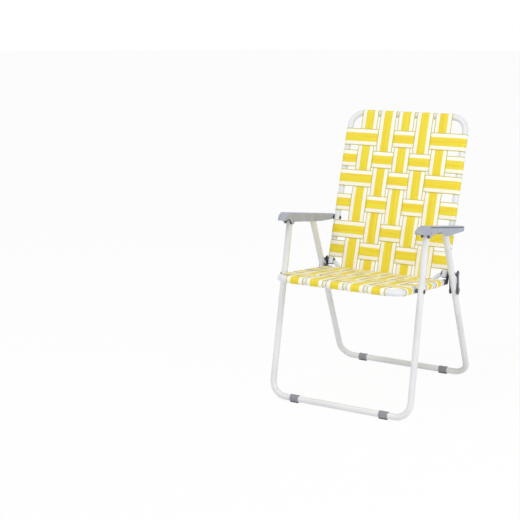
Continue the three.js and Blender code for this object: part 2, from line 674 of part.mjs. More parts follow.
// The arm's rear bolt: head inside the back tube's width, a collar, and a nut in the channel
const armBolt = (sign) => turned([
  [headRadius, railInner - fitGap - headThick], [headRadius, railInner - fitGap],
  [pinRadius, railInner - fitGap], [pinRadius, railOuter + fitGap],
  [armCollarDiameter / 2, railOuter + fitGap], [armCollarDiameter / 2, armInnerX - fitGap],
  [pinRadius, armInnerX - fitGap], [pinRadius, channelInner],
  [headRadius, channelInner], [headRadius, channelInner + armNutThick]],
sign, armRearPivot.x, armRearPivot.y);
// Seat to front leg: the leg's half of the rivet ends in a spacer, the rail's half has the inner head
const spacerX = railHalf + strapMid + strapThick / 2 + fitGap;   // clear of the straps as the seat turns
const legRivet = (sign) => turned([
  [spacerDiameter / 2, spacerX], [spacerDiameter / 2, seatLegHalf - tubeRadius - fitGap],
  [pinRadius, seatLegHalf - tubeRadius - fitGap], [pinRadius, seatLegHalf + tubeRadius + fitGap],
  [headRadius, seatLegHalf + tubeRadius + fitGap],
  [headRadius, seatLegHalf + tubeRadius + fitGap + headThick]], sign, seatPivot.x, seatPivot.y);
const railRivet = (sign) => turned([
  [headRadius, railInner - fitGap - headThick], [headRadius, railInner - fitGap],
  [pinRadius, railInner - fitGap], [pinRadius, spacerX - fitGap]], sign, seatPivot.x, seatPivot.y);
// Link to rear leg: one rivet through both plates and the leg
const outerHeadX = outerPlateX + linkThick + fitGap;
const linkRivet = (sign) => turned([
  [headRadius, innerPlateX - fitGap - rivetInnerHead], [headRadius, innerPlateX - fitGap],
  [pinRadius, innerPlateX - fitGap], [pinRadius, outerHeadX],
  [headRadius, outerHeadX], [headRadius, outerHeadX + headThick]], sign, linkPivot.x, linkPivot.y);
// Seat corner pin: the back's half carries the seat's ears, the links' half is sleeved and stops on the leg
const earX = railOuter + fitGap;
const studEnd = earX + earThick + fitGap;
const backStud = (sign) => turned([
  [headRadius, railInner - fitGap - headThick], [headRadius, railInner - fitGap],
  [pinRadius, railInner - fitGap], [pinRadius, studEnd]], sign, backPivot.x, backPivot.y);
const stopPin = (sign) => turned([
  [pinRadius, studEnd + fitGap], [pinRadius, innerPlateX + linkThick + fitGap],
  [stopRadius, innerPlateX + linkThick + fitGap], [stopRadius, outerPlateX - fitGap],
  [pinRadius, outerPlateX - fitGap], [pinRadius, outerHeadX],
  [headRadius, outerHeadX], [headRadius, outerHeadX + headThick]], sign, backPivot.x, backPivot.y);
bothSides((side, sign) => {
  add(sideView, `front_leg_arm_pin_${side}`, legPin(sign, armFrontPivot), "steel");
  add(sideView, `rear_leg_arm_pin_${side}`, legPin(sign, armMidPivot), "steel");
  add(sideView, `arm_rear_bolt_${side}`, armBolt(sign), "dark");
  add(sideView, `seat_leg_rivet_${side}`, legRivet(sign), "dark");
  add(sideView, `seat_rail_rivet_${side}`, railRivet(sign), "dark");
  add(sideView, `link_leg_rivet_${side}`, linkRivet(sign), "dark");
  add(sideView, `back_pivot_stud_${side}`, backStud(sign), "dark");
  add(sideView, `link_stop_pin_${side}`, stopPin(sign), "dark");
});

// Links: waisted plates on both faces of the rear leg
const circlePath = (x, y, radius) =>
  new THREE.Path(ring(radius, pinSides).map((point) => place(point.x + x, point.y + y)).reverse());
const linkShape = () => {
  const lobe = linkLobeDiameter / 2;
  const open = Math.asin(linkWaistWidth / linkLobeDiameter);
  const points = [];
  for (const [centre, start] of [[0, open], [linkLength, Math.PI + open]]) {
    for (let i = 0; i <= lobeSteps; i += 1) {
      const angle = start + (2 * Math.PI - 2 * open) * i / lobeSteps;
      points.push(place(centre + lobe * Math.cos(angle), lobe * Math.sin(angle)));
    }
  }
  const shape = new THREE.Shape(points);
  shape.holes.push(circlePath(0, 0, holeRadius), circlePath(linkLength, 0, holeRadius));
  return shape;
};
bothSides((side, sign) => {
  add(linkPlane, `link_plate_inner_${side}`,
    extrudeAcross(linkShape(), sign * innerPlateX, sign * (innerPlateX + linkThick)), "dark");
  add(linkPlane, `link_plate_outer_${side}`,
    extrudeAcross(linkShape(), sign * outerPlateX, sign * (outerPlateX + linkThick)), "dark");
});

// Ears on the seat rails' ends, rising to the corner pin
const pivotInSeat = inSeat(backPivot);
const earShape = () => {
  const lobe = earLobeDiameter / 2;
  const points = [place(seatLength - earFootLength, -tubeRadius / 2), place(seatLength, -tubeRadius / 2)];
  for (let i = 0; i <= lobeSteps; i += 1) {
    const angle = Math.PI * i / lobeSteps;
    points.push(polar(pivotInSeat.along, pivotInSeat.out, lobe, THREE.MathUtils.radToDeg(angle)));
  }
  points.push(place(seatLength - earFootLength, tubeRadius / 2));
  const shape = new THREE.Shape(points);
  shape.holes.push(circlePath(pivotInSeat.along, pivotInSeat.out, holeRadius));
  return shape;
};
bothSides((side, sign) => {
  add(seatPlane, `seat_hinge_ear_${side}`,
    extrudeAcross(earShape(), sign * earX, sign * (earX + earThick)), "dark");
});

export default chair;
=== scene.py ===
import bmesh
import bpy
import itertools
import math
from functools import partial
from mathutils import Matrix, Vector


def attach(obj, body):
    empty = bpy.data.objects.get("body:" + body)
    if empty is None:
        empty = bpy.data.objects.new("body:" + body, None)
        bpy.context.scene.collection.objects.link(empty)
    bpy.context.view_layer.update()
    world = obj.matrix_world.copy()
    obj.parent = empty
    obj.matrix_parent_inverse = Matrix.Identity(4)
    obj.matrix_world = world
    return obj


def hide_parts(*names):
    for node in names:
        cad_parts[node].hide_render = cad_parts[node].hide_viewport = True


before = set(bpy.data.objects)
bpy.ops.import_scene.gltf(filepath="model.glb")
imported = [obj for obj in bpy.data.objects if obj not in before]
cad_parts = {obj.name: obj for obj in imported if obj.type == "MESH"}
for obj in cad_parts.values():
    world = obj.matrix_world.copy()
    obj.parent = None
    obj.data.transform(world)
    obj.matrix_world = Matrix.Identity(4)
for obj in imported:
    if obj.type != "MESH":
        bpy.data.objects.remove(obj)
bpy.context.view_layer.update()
print("frame loaded:", len(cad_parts), "nodes")

# Sizes are millimetres, as in the part's own drawing. Meshes are written in metres.
chair = {
    "seatHeight": 401, "seatLength": 376.6, "seatSlope": 6.71,
    "backLength": 500.8, "backLean": 17.2,
    "cornerPast": 2.5, "cornerRise": 29.5,      # the corner pin, from the rails' ends
    "frontFootBehind": 32.6, "rearFootBehind": 159.5,
    "armPastBolt": 12.9, "armSlope": 8.37, "armTipRise": 173.3, "armTipBehind": 69.9,
    "armFrontPivotAlong": 68.2, "armPivotDrop": 4.3,
    "linkLength": 56.7, "stopSleeveRadius": 5,
    "railHalf": 201, "legGap": 7.6, "footSplay": 4.8, "armGap": 3.4,
    "tubeRadius": 10, "barRadius": 7, "fitGap": 0.3, "clipWall": 1.8,
}
tubeRadius = chair["tubeRadius"]
barRadius = chair["barRadius"]
fitGap = chair["fitGap"]
railHalf = chair["railHalf"]
backLength = chair["backLength"]
seatLength = chair["seatLength"]
linkLength = chair["linkLength"]
stopRadius = chair["stopSleeveRadius"]
sides = {"left": -1, "right": 1}


# The side view: points are (distance behind the seat's front bar, height)
def xy(a, b):
    return Vector((a, b))


def heading(degrees):
    return xy(math.cos(math.radians(degrees)), math.sin(math.radians(degrees)))


def normalTo(direction):
    return xy(-direction.y, direction.x)


def cross(a, b):
    return a.x * b.y - a.y * b.x


def meet(a, aDirection, b, bDirection):
    return a + aDirection * (cross(b - a, bDirection) / cross(aDirection, bDirection))


def between(a, b, share):
    return a + (b - a) * share


def eased(share):
    return share * share * (3 - 2 * share)


# Even steps from 0, which is left out, to 1
def shares(steps):
    return [i / steps for i in range(1, steps + 1)]


# Directions that turn evenly from one angle to another
def arc(fromDegrees, toDegrees, steps):
    return [heading(between(fromDegrees, toDegrees, i / steps)) for i in range(steps + 1)]


footZ = chair["clipWall"] + fitGap + tubeRadius
seatFront = xy(0, chair["seatHeight"])
seatBack = heading(-chair["seatSlope"])
backPivot = (seatFront + seatBack * (seatLength + chair["cornerPast"])
             + normalTo(seatBack) * chair["cornerRise"])
backUp = heading(90 - chair["backLean"])
armTip = xy(chair["armTipBehind"], chair["seatHeight"] + chair["armTipRise"])
armDirection = heading(-chair["armSlope"])
armPivotLine = armTip - normalTo(armDirection) * chair["armPivotDrop"]
armRearPivot = meet(armTip, armDirection, backPivot, backUp)
frontFoot = xy(chair["frontFootBehind"], footZ)
armFrontPivot = armPivotLine + armDirection * chair["armFrontPivotAlong"]
frontLegUp = (armFrontPivot - frontFoot).normalized()
seatPivot = meet(seatFront, seatBack, frontFoot, frontLegUp)
rearFoot = xy(backPivot.x + chair["rearFootBehind"], footZ)
pinToLeg = stopRadius + fitGap + tubeRadius
leanPast = math.asin(pinToLeg / (backPivot - rearFoot).length)
towardPin = (backPivot - rearFoot).normalized()
rearLegUp = towardPin * math.cos(leanPast) + normalTo(towardPin) * math.sin(leanPast)
armMidPivot = meet(rearFoot, rearLegUp, armPivotLine, armDirection)
linkPivot = (backPivot + normalTo(rearLegUp) * pinToLeg
             - rearLegUp * math.sqrt(linkLength ** 2 - pinToLeg ** 2))

railOuter = railHalf + tubeRadius
railInner = railHalf - tubeRadius
legTopHalf = railOuter + chair["legGap"] + tubeRadius
footHalf = legTopHalf + chair["footSplay"]
frontLegLength = (armFrontPivot - frontFoot).length
rearLegLength = (armMidPivot - rearFoot).length


def legHalf(share):
    return footHalf - chair["footSplay"] * share    # legs lean in from foot to arm


seatLegHalf = legHalf((seatPivot - frontFoot).length / frontLegLength)
linkLegHalf = legHalf((linkPivot - rearFoot).length / rearLegLength)
armInnerX = railOuter + chair["armGap"]

webbing = {
    "width": 57, "thick": 1, "edgeRound": 0.45, "edgeSteps": 2,
    "tailDegrees": 35,        # past the far side of the tube
    "wrapSteps": 22, "rampSteps": 6, "flatSteps": 3,
    "backPitchShare": 0.32, "backCount": 5, "backLowerCount": 2,
    "backGapShares": (0.12, 0.071, 0.2, 0.189),
    "boltClear": 8.5,         # from the arm bolt's middle to the strap below it
    "seatPitchShare": 1 / 3, "seatLongCount": 5, "seatCrossCount": 4,
    "rivetRadius": 3.2, "rivetRise": 1.2, "rivetSpread": 15, "rivetStep": 3, "rivetSides": 12,
}
strapMid = tubeRadius + fitGap + webbing["thick"] / 2
barLift = tubeRadius - barRadius
rearReach = rearFoot.x + tubeRadius + fitGap + chair["clipWall"]
middleY = (rearReach - strapMid - webbing["thick"] / 2) / 2

# Each flat frame's plane: its origin and its direction in the side view
frontPlane = (frontFoot, frontLegUp)
rearPlane = (rearFoot, rearLegUp)
backPlane = (backPivot, backUp)
seatPlane = (seatFront, seatBack)
armPlane = (armTip, armDirection)
linkPlane = (linkPivot, (backPivot - linkPivot).normalized())


def toRow(plane, x, along, out=0):
    origin, direction = plane
    point = origin + direction * along + normalTo(direction) * out
    return Vector((x, point.x - middleY, point.y)) / 1000


def inPlane(plane, point):
    origin, direction = plane
    offset = point - origin
    return xy(offset.dot(direction), cross(direction, offset))


def addObject(name, data):
    thing = bpy.data.objects.new(name, data)
    bpy.context.scene.collection.objects.link(thing)
    return thing


# The camera stands at the photograph's angle on the right-hand chair
view = {"place": (1.4403, -3.2524, 1.2112), "turn": 0.518, "down": 0.218, "lens": 79.1,
        "sensor": 36}
cameraData = bpy.data.cameras.new("camera")
cameraData.lens = view["lens"]
cameraData.sensor_width = view["sensor"]
camera = addObject("camera", cameraData)
camera.location = view["place"]
camera.rotation_euler = (math.pi / 2 - view["down"], 0, view["turn"])
bpy.context.scene.camera = camera
print("camera placed")


def toLinear(hexColour):
    shades = []
    for i in (0, 2, 4):
        value = int(hexColour[i:i + 2], 16) / 255
        shades.append(value / 12.92 if value <= 0.04045 else ((value + 0.055) / 1.055) ** 2.4)
    return (*shades, 1)


# Sets or links a node's sockets. A node given as a value links the first output that it uses.
def feed(node, inputs):
    for socket, value in inputs.items():
        if isinstance(value, bpy.types.Node):
            value = next(output for output in value.outputs if output.enabled)
        if isinstance(value, bpy.types.NodeSocket):
            node.id_data.links.new(value, node.inputs[socket])
        else:
            node.inputs[socket].default_value = value


# Adds a node with its settings, its colour stops, and its values or links
def addNode(tree, kind, inputs=None, stops=(), **settings):
    node = tree.nodes.new(kind)
    for name, value in settings.items():
        setattr(node, name, value)
    for i, (place, shade) in enumerate(stops):
        spots = node.color_ramp.elements
        spot = spots[i] if i < 2 else spots.new(place)
        spot.position = place
        spot.color = shade
    feed(node, inputs or {})
    return node


def startMaterial(name, constants):
    material = bpy.data.materials.new(name)
    material.use_nodes = True
    shader = material.node_tree.nodes["Principled BSDF"]
    feed(shader, constants)
    return material, partial(addNode, material.node_tree), shader


# What each way of making leaves on a surface: clouds between two tones, wear that turns the gloss,
# and a fine relief. Noise is given by its size in millimetres and its detail.
finishes = {
    # white powder coat on steel tube: bright, faintly cool, a soft gloss with a fine orange peel
    "powderCoat": {"clouds": (1000 / 9, 3), "tones": (0.35, 0.65), "wear": (12, 4),
                   "wearSpan": (0.35, 0.7), "glossDown": 0.04, "glossUp": 0.06,
                   "relief": (1.6, 1), "strength": 0.16, "deep": 0.2},
    # injection-moulded plastic: an even dull skin, a fine spark-eroded grain, a slight bloom, and
    # a dark grey painted into grooves as painted shade
    "moulded": {"clouds": (50, 4), "tones": (0.35, 0.68), "wear": (1.1, 2),
                "wearSpan": (0.3, 0.7), "glossDown": 0.05, "glossUp": 0.06,
                "relief": (1.1, 2), "strength": 0.22, "deep": 0.3, "recess": "4A4B52"},
    # zinc-plated steel, pressed or headed: grey metal, satin, with cloudy passivation
    "plated": {"clouds": (8, 5), "tones": (0.36, 0.66), "wear": (8, 5),
               "wearSpan": (0.3, 0.7), "glossDown": 0.06, "glossUp": 0.1,
               "relief": (0.9, 2), "strength": 0.12, "deep": 0.1, "metallic": 1.0},
}
finishes["finelyMoulded"] = {**finishes["moulded"], "wear": (0.9, 2), "relief": (0.9, 2)}


def makeSurface(name, making, dark, light, roughness):
    finish = finishes[making]
    material, add, shader = startMaterial(name, {
        "Metallic": finish.get("metallic", 0.0), "Roughness": roughness})
    place = add("ShaderNodeTexCoord").outputs["Object"]
    noises = {}
    for noise in dict.fromkeys(finish[use] for use in ("clouds", "wear", "relief")):
        noises[noise] = add("ShaderNodeTexNoise", {
            "Vector": place, "Scale": 1000 / noise[0], "Detail": noise[1]})
    tone = add("ShaderNodeValToRGB", {"Fac": noises[finish["clouds"]]},
               stops=zip(finish["tones"], (toLinear(dark), toLinear(light))))
    # painted shade: points marked in the mesh are mixed towards a dark grey, as the shade inside a
    # groove
    if "recess" in finish:
        recess = add("ShaderNodeAttribute", attribute_name="recess").outputs["Fac"]
        tone = add("ShaderNodeMix", {0: recess, 6: tone, 7: toLinear(finish["recess"])},
                   data_type="RGBA")
    wearFrom, wearTo = finish["wearSpan"]
    gloss = add("ShaderNodeMapRange", {
        "Value": noises[finish["wear"]], "From Min": wearFrom, "From Max": wearTo,
        "To Min": roughness - finish["glossDown"], "To Max": roughness + finish["glossUp"]})
    bump = add("ShaderNodeBump", {"Height": noises[finish["relief"]],
               "Strength": finish["strength"], "Distance": finish["deep"] / 1000})
    feed(shader, {"Base Color": tone, "Roughness": gloss, "Normal": bump})
    return material


# Woven polypropylene webbing: flat bright bands made of warp threads, a soft dry sheen, paler weft
# showing between them. The threads are drawn 1.9 mm apart, about twice as coarse as real ones.
weaving = {
    "threadPitch": 1.9, "weftPitch": 2.4, "streakWidth": 4.5, "streakLength": 160.0,
    "strapShift": 7.3, "ownShade": 0.25, "weftShows": 0.16,
    "yellowHalf": 14.0, "whiteTo": 26.3, "halfWidth": 28.5,
    # selvedge: the edge threads' yellow, darkened to olive as painted shade along the straps' edges
    "yellowDeep": "F0CB0A", "yellowLight": "EFE424", "white": "FDFBF0", "selvedgeAndEdgeShade": "CFC24A",
    "weft": "F2E9B4", "roughness": 0.55, "sheen": 0.12, "sheenRoughness": 0.4,
    "streakFrom": 0.3, "streakTo": 0.7, "waveShare": 0.4, "dipFrom": 0.35, "dipTo": -0.25,
    "relief": 0.5, "reliefDeep": 0.3,
}


def wovenWebbing():
    material, add, shader = startMaterial("wovenPolypropyleneWebbing", {
        "Roughness": weaving["roughness"], "Sheen Weight": weaving["sheen"],
        "Sheen Roughness": weaving["sheenRoughness"]})
    weave = add("ShaderNodeAttribute", attribute_name="weave").outputs["Vector"]
    # millimetres from the strap's middle, millimetres along it, and the strap's own number
    across, length, strap = add("ShaderNodeSeparateXYZ", {"Vector": weave}).outputs

    # which thread this is, and which band the thread belongs to
    warp = add("ShaderNodeMath", {0: across, 1: weaving["threadPitch"]}, operation="DIVIDE")
    thread = add("ShaderNodeMath", {0: warp}, operation="ROUND")
    fromMiddle = add("ShaderNodeMath", {0: thread}, operation="ABSOLUTE")
    band = add("ShaderNodeMapRange", {
        "Value": fromMiddle, "From Max": weaving["halfWidth"] / weaving["threadPitch"]})
    zone = add("ShaderNodeValToRGB", {"Fac": band}, stops=(
        (0, (0, 0, 0, 1)), (weaving["yellowHalf"] / weaving["halfWidth"], (0.5, 0.5, 0.5, 1)),
        (weaving["whiteTo"] / weaving["halfWidth"], (1, 1, 1, 1))))
    zone.color_ramp.interpolation = "CONSTANT"

    # long streaks, and a shade of its own for each thread
    streakPlace = add("ShaderNodeVectorMath", {0: weave, 1: (
        1 / weaving["streakWidth"], 1 / weaving["streakLength"], weaving["strapShift"])},
        operation="MULTIPLY")
    streak = add("ShaderNodeTexNoise", {"Vector": streakPlace, "Scale": 1.0, "Detail": 2.0})
    ownPlace = add("ShaderNodeCombineXYZ", {"X": thread, "Y": strap})
    own = add("ShaderNodeTexWhiteNoise", {"Vector": ownPlace}, noise_dimensions="2D")
    shade = add("ShaderNodeMix", {0: weaving["ownShade"], 2: streak, 3: own})
    yellow = add("ShaderNodeValToRGB", {"Fac": shade}, stops=(
        (weaving["streakFrom"], toLinear(weaving["yellowDeep"])),
        (weaving["streakTo"], toLinear(weaving["yellowLight"]))))
    isPale = add("ShaderNodeMath", {0: zone, 1: 0.25}, operation="GREATER_THAN")
    isEdge = add("ShaderNodeMath", {0: zone, 1: 0.75}, operation="GREATER_THAN")
    banded = add("ShaderNodeMix", {0: isPale, 6: yellow, 7: toLinear(weaving["white"])},
                 data_type="RGBA")
    # the edge threads take the selvedge colour: partly their own yellow, partly painted shade
    edged = add("ShaderNodeMix", {0: isEdge, 6: banded, 7: toLinear(weaving["selvedgeAndEdgeShade"])},
                data_type="RGBA")

    # plain weave: each warp thread dips under every other weft
    turn = add("ShaderNodeMath", {0: warp, 1: math.pi}, operation="MULTIPLY")
    swell = add("ShaderNodeMath", {0: turn}, operation="COSINE")
    ridge = add("ShaderNodeMath", {0: swell}, operation="ABSOLUTE")
    shift = add("ShaderNodeMath", {0: thread, 1: math.pi}, operation="MULTIPLY")
    phase = add("ShaderNodeMath", {0: length, 1: math.pi / weaving["weftPitch"], 2: shift},
                operation="MULTIPLY_ADD")
    wave = add("ShaderNodeMath", {0: phase}, operation="SINE")
    height = add("ShaderNodeMix", {0: weaving["waveShare"], 2: ridge, 3: wave})
    dip = add("ShaderNodeMapRange", {
        "Value": height, "From Min": weaving["dipFrom"], "From Max": weaving["dipTo"],
        "To Max": weaving["weftShows"]})
    woven = add("ShaderNodeMix", {0: dip, 6: edged, 7: toLinear(weaving["weft"])},
                data_type="RGBA")
    bump = add("ShaderNodeBump", {"Height": height, "Strength": weaving["relief"],
               "Distance": weaving["reliefDeep"] / 1000})
    feed(shader, {"Base Color": woven, "Normal": bump})
    return material


frameWhite = makeSurface("whitePowderCoatedSteel", "powderCoat", "E2E3E6", "EAEBED", 0.36)
strapWeave = wovenWebbing()
armGrey = makeSurface("mouldedPolypropyleneGrey", "moulded", "A2A6B3", "AFB3BF", 0.48)
clipGrey = makeSurface("mouldedPolyethyleneGrey", "moulded", "888A92", "96989F", 0.52)
plasticBlack = makeSurface("mouldedNylonBlack", "finelyMoulded", "1C1D20", "26272B", 0.42)
darkSteel = makeSurface("darkZincPlatedSteel", "plated", "484950", "686A72", 0.42)
# pale zinc-plated steel: the link pins' own colour, and on the link ribs a painted highlight
paleSteelAndRibHighlight = makeSurface("paleZincPlatedSteelAndRibHighlight", "plated", "7C7D86", "9A9BA4", 0.4)
rivetSteel = makeSurface("brightZincPlatedSteel", "plated", "A6A9AE", "C4C6CA", 0.34)
print("materials made")


def faceOutward(mesh):
    work = bmesh.new()
    work.from_mesh(mesh)
    bmesh.ops.recalc_face_normals(work, faces=work.faces)
    work.to_mesh(mesh)
    work.free()


# Makes one mesh of closed skins. Each is given as rings of points: a ring joins the next, and the
# end rings are capped or joined to each other.
def skinOver(name, shapes, material, endless=False, values=None):
    points, faces = [], []
    for rings in shapes:
        count = len(rings[0])
        starts = [len(points) + i * count for i in range(len(rings))]
        for near, far in zip(starts, starts[1:] + starts[:1] * endless):
            for k in range(count):
                m = (k + 1) % count
                faces.append((near + k, near + m, far + m, far + k))
        if not endless:
            faces.append(tuple(reversed(range(starts[0], starts[0] + count))))
            faces.append(tuple(range(starts[-1], starts[-1] + count)))
        points += [point for ring in rings for point in ring]
    mesh = bpy.data.meshes.new(name)
    mesh.from_pydata(points, [], faces)
    # each point's share of painted groove shade, kept for the material
    if values:
        mesh.attributes.new("recess", "FLOAT", "POINT").data.foreach_set("value", values)
    mesh.materials.append(material)
    faceOutward(mesh)
    return mesh


def addPiece(name, mesh, body, stands, smoothTo=35):
    mesh.shade_smooth()
    mesh.set_sharp_from_angle(angle=math.radians(smoothTo))
    piece = addObject(name, mesh)
    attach(piece, body)
    if stands:
        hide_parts(*stands)
    return piece


# The same part at the left and at the right, as one piece
def addPair(node, mesh, body):
    first, *others = node.split("_")
    name = first + "".join(word.capitalize() for word in others) + "s"
    addPiece(name, mesh, body, [f"{node}_{side}" for side in sides])


def startTree(name, *inputs):
    tree = bpy.data.node_groups.new(name, "GeometryNodeTree")
    tree.interface.new_socket("Geometry", in_out="OUTPUT", socket_type="NodeSocketGeometry")
    for label, kind in (("Geometry", "Geometry"), *inputs, ("Material", "Material")):
        tree.interface.new_socket(label, in_out="INPUT", socket_type="NodeSocket" + kind)
    return partial(addNode, tree), tree.nodes.new("NodeGroupInput").outputs


def endTree(sizes, shape):
    tree = shape.id_data
    real = addNode(tree, "GeometryNodeRealizeInstances", {"Geometry": shape})
    dressed = addNode(tree, "GeometryNodeSetMaterial", {
        "Geometry": real, "Material": sizes["Material"]})
    addNode(tree, "NodeGroupOutput", {"Geometry": dressed})
    return tree


# Runs a tree on a chain of points, or on points with their own edges, and keeps the result as a
# plain mesh
def runTree(name, tree, points, sizes, edges=None, attributes=None):
    if edges is None:
        edges = [(i, i + 1) for i in range(len(points) - 1)]
    seed = bpy.data.meshes.new(name + "Seed")
    seed.from_pydata(points, edges, [])
    for label, (kind, field, values) in (attributes or {}).items():
        seed.attributes.new(label, kind, "POINT").data.foreach_set(field, values)
    carrier = addObject(name + "Carrier", seed)
    modifier = carrier.modifiers.new("shape", "NODES")
    modifier.node_group = tree
    for item in tree.interface.items_tree:
        if item.in_out == "INPUT" and item.name in sizes:
            modifier[item.identifier] = sizes[item.name]
    depsgraph = bpy.context.evaluated_depsgraph_get()
    mesh = bpy.data.meshes.new_from_object(carrier.evaluated_get(depsgraph),
                                           preserve_all_data_layers=True, depsgraph=depsgraph)
    carrier.modifiers.remove(modifier)
    bpy.data.objects.remove(carrier)
    bpy.data.meshes.remove(seed)
    mesh.name = name
    faceOutward(mesh)
    return mesh


# Bent tube: the corners of a path are rounded and a circle runs along it
def makeTubeTree():
    add, sizes = startTree("bentTube", ("Tube Radius", "Float"), ("Bend Radius", "Float"),
                           ("Bend Steps", "Int"), ("Tube Sides", "Int"))
    path = add("GeometryNodeMeshToCurve", {"Mesh": sizes["Geometry"]})
    bent = add("GeometryNodeFilletCurve", {
        "Curve": path, "Count": sizes["Bend Steps"], "Radius": sizes["Bend Radius"],
        "Limit Radius": True}, mode="POLY")
    circle = add("GeometryNodeCurvePrimitiveCircle", {
        "Resolution": sizes["Tube Sides"], "Radius": sizes["Tube Radius"]})
    return endTree(sizes, add("GeometryNodeCurveToMesh", {
        "Curve": bent, "Profile Curve": circle, "Fill Caps": True}))


tubeTree = makeTubeTree()
tubes = {"legBend": 47, "backBend": 44, "seatBend": 36, "barBend": 9, "bendSteps": 14,
              "tubeSides": 36, "legTopPast": 7}


# A tube is drawn by its right half, from the middle outwards
def addTube(name, body, node, plane, half, bend, radius=tubeRadius):
    corners = [(-x, *rest) for x, *rest in reversed(half)] + half
    mesh = runTree(name, tubeTree, [toRow(plane, *corner) for corner in corners], {
        "Tube Radius": radius / 1000, "Bend Radius": tubes[bend] / 1000,
        "Bend Steps": tubes["bendSteps"], "Tube Sides": tubes["tubeSides"],
        "Material": frameWhite})
    addPiece(name, mesh, body, [node])


for row, plane, legLength in (("front", frontPlane, frontLegLength),
                              ("rear", rearPlane, rearLegLength)):
    legTop = legLength + tubes["legTopPast"]
    addTube(f"{row}LegTube", f"{row}_legs", f"{row}_leg_frame", plane,
            [(footHalf, 0), (legHalf(legTop / legLength), legTop)], "legBend")

plugs = {"flange": 2.4, "step": 1, "endRoom": 1.1, "rimDeep": 1.1, "rimRound": 1.4,
         "rimRise": 0.8, "rimSteps": 7, "flatShare": 0.55, "sink": 0.1, "pip": 0.4, "sides": 32}
tubeEndDrop = math.sqrt((chair["cornerRise"] - tubeRadius - plugs["endRoom"]) ** 2
                        - tubeRadius ** 2) - plugs["flange"]
addTube("backTube", "back", "back_frame", backPlane,
        [(railHalf, backLength), (railHalf, -tubeEndDrop)], "backBend")
addTube("seatTube", "seat", "seat_frame", seatPlane,
        [(railHalf, 0), (railHalf, seatLength)], "seatBend")

bars = {"seatFromEnd": 28, "backDrop": 28.4, "backEndDrop": 8, "backPast": 8,
             "backEndRun": 5, "headThick": 2.4}
seatBarAlong = seatLength - bars["seatFromEnd"]
seatBarEnd = railInner - fitGap
backPitch = railHalf * webbing["backPitchShare"]
backBarStraight = (backPitch * (webbing["backCount"] - 1) / 2 + webbing["width"] / 2
                   + bars["backPast"])
backBarEnd = seatBarEnd - bars["headThick"] - fitGap
addTube("seatBar", "seat", "seat_cross_bar", seatPlane, [(seatBarEnd, seatBarAlong, barLift)],
        "barBend", barRadius)
addTube("backBar", "back", "back_cross_bar", backPlane, [
    (backBarStraight, -bars["backDrop"], barLift),
    (backBarEnd - bars["backEndRun"], -bars["backEndDrop"], barLift),
    (backBarEnd, -bars["backEndDrop"], barLift)], "barBend", barRadius)
print("tubes bent")


# Strap: a rounded rectangle runs along the strap's middle line, upright to it all the way, and
# every point keeps its place in the weave
def makeStrapTree():
    add, sizes = startTree("wovenStrap", ("Width", "Float"), ("Thickness", "Float"),
                           ("Edge Round", "Float"), ("Across", "Vector"), ("Number", "Float"))
    path = add("GeometryNodeMeshToCurve", {"Mesh": sizes["Geometry"]})
    measured = add("GeometryNodeStoreNamedAttribute", {
        "Geometry": path, "Name": "lengthwise",
        "Value": add("GeometryNodeSplineParameter").outputs["Length"]})
    level = add("GeometryNodeSetCurveNormal", {"Curve": measured, "Normal": sizes["Across"]},
                mode="FREE")
    section = add("GeometryNodeCurvePrimitiveQuadrilateral", {
        "Width": sizes["Width"], "Height": sizes["Thickness"]})
    rounded = add("GeometryNodeFilletCurve", {
        "Curve": section, "Count": webbing["edgeSteps"], "Radius": sizes["Edge Round"],
        "Limit Radius": True}, mode="POLY")
    spot = add("ShaderNodeSeparateXYZ", {"Vector": add("GeometryNodeInputPosition")})
    marked = add("GeometryNodeStoreNamedAttribute", {
        "Geometry": rounded, "Name": "crosswise", "Value": spot})
    strap = add("GeometryNodeCurveToMesh", {
        "Curve": level, "Profile Curve": marked, "Fill Caps": True})
    inMetres = add("ShaderNodeCombineXYZ", {
        "X": add("GeometryNodeInputNamedAttribute", {"Name": "crosswise"}),
        "Y": add("GeometryNodeInputNamedAttribute", {"Name": "lengthwise"})})
    inMillimetres = add("ShaderNodeVectorMath", {0: inMetres, 1: (1000, 1000, 1000)},
                        operation="MULTIPLY")
    numbered = add("ShaderNodeVectorMath", {
        0: inMillimetres, 1: add("ShaderNodeCombineXYZ", {"Z": sizes["Number"]})},
        operation="ADD")
    return endTree(sizes, add("GeometryNodeStoreNamedAttribute", {
        "Geometry": strap, "Name": "weave", "Value": numbered}, data_type="FLOAT_VECTOR"))


strapTree = makeStrapTree()
strapNumbers = itertools.count()
strapRivets = {"back": [], "seat": []}
weaveLift = (webbing["thick"] + fitGap) / 2


def wrapRound(centre, radius, fromDegrees, toDegrees):
    return [centre + turn * radius for turn in arc(fromDegrees, toDegrees, webbing["wrapSteps"])]


# The strap's middle line in its own plane: wrapped ends, flat over each crossing, and smooth
# steps between the crossings
def wovenLine(lowWrap, crossings, highWrap):
    reach = webbing["width"] / 2 + fitGap
    knots = [lowWrap[-1]]
    for place, over in crossings:
        level = strapMid + (weaveLift if over else -weaveLift)
        knots += [xy(place - reach, level), xy(place + reach, level)]
    knots.append(highWrap[0])
    line = list(lowWrap)
    for start, end in zip(knots, knots[1:]):
        steps = webbing["rampSteps"] if abs(end.y - start.y) > 0.01 else webbing["flatSteps"]
        for share in shares(steps):
            line.append(xy(between(start.x, end.x, share), between(start.y, end.y, eased(share))))
    return line + highWrap[1:]


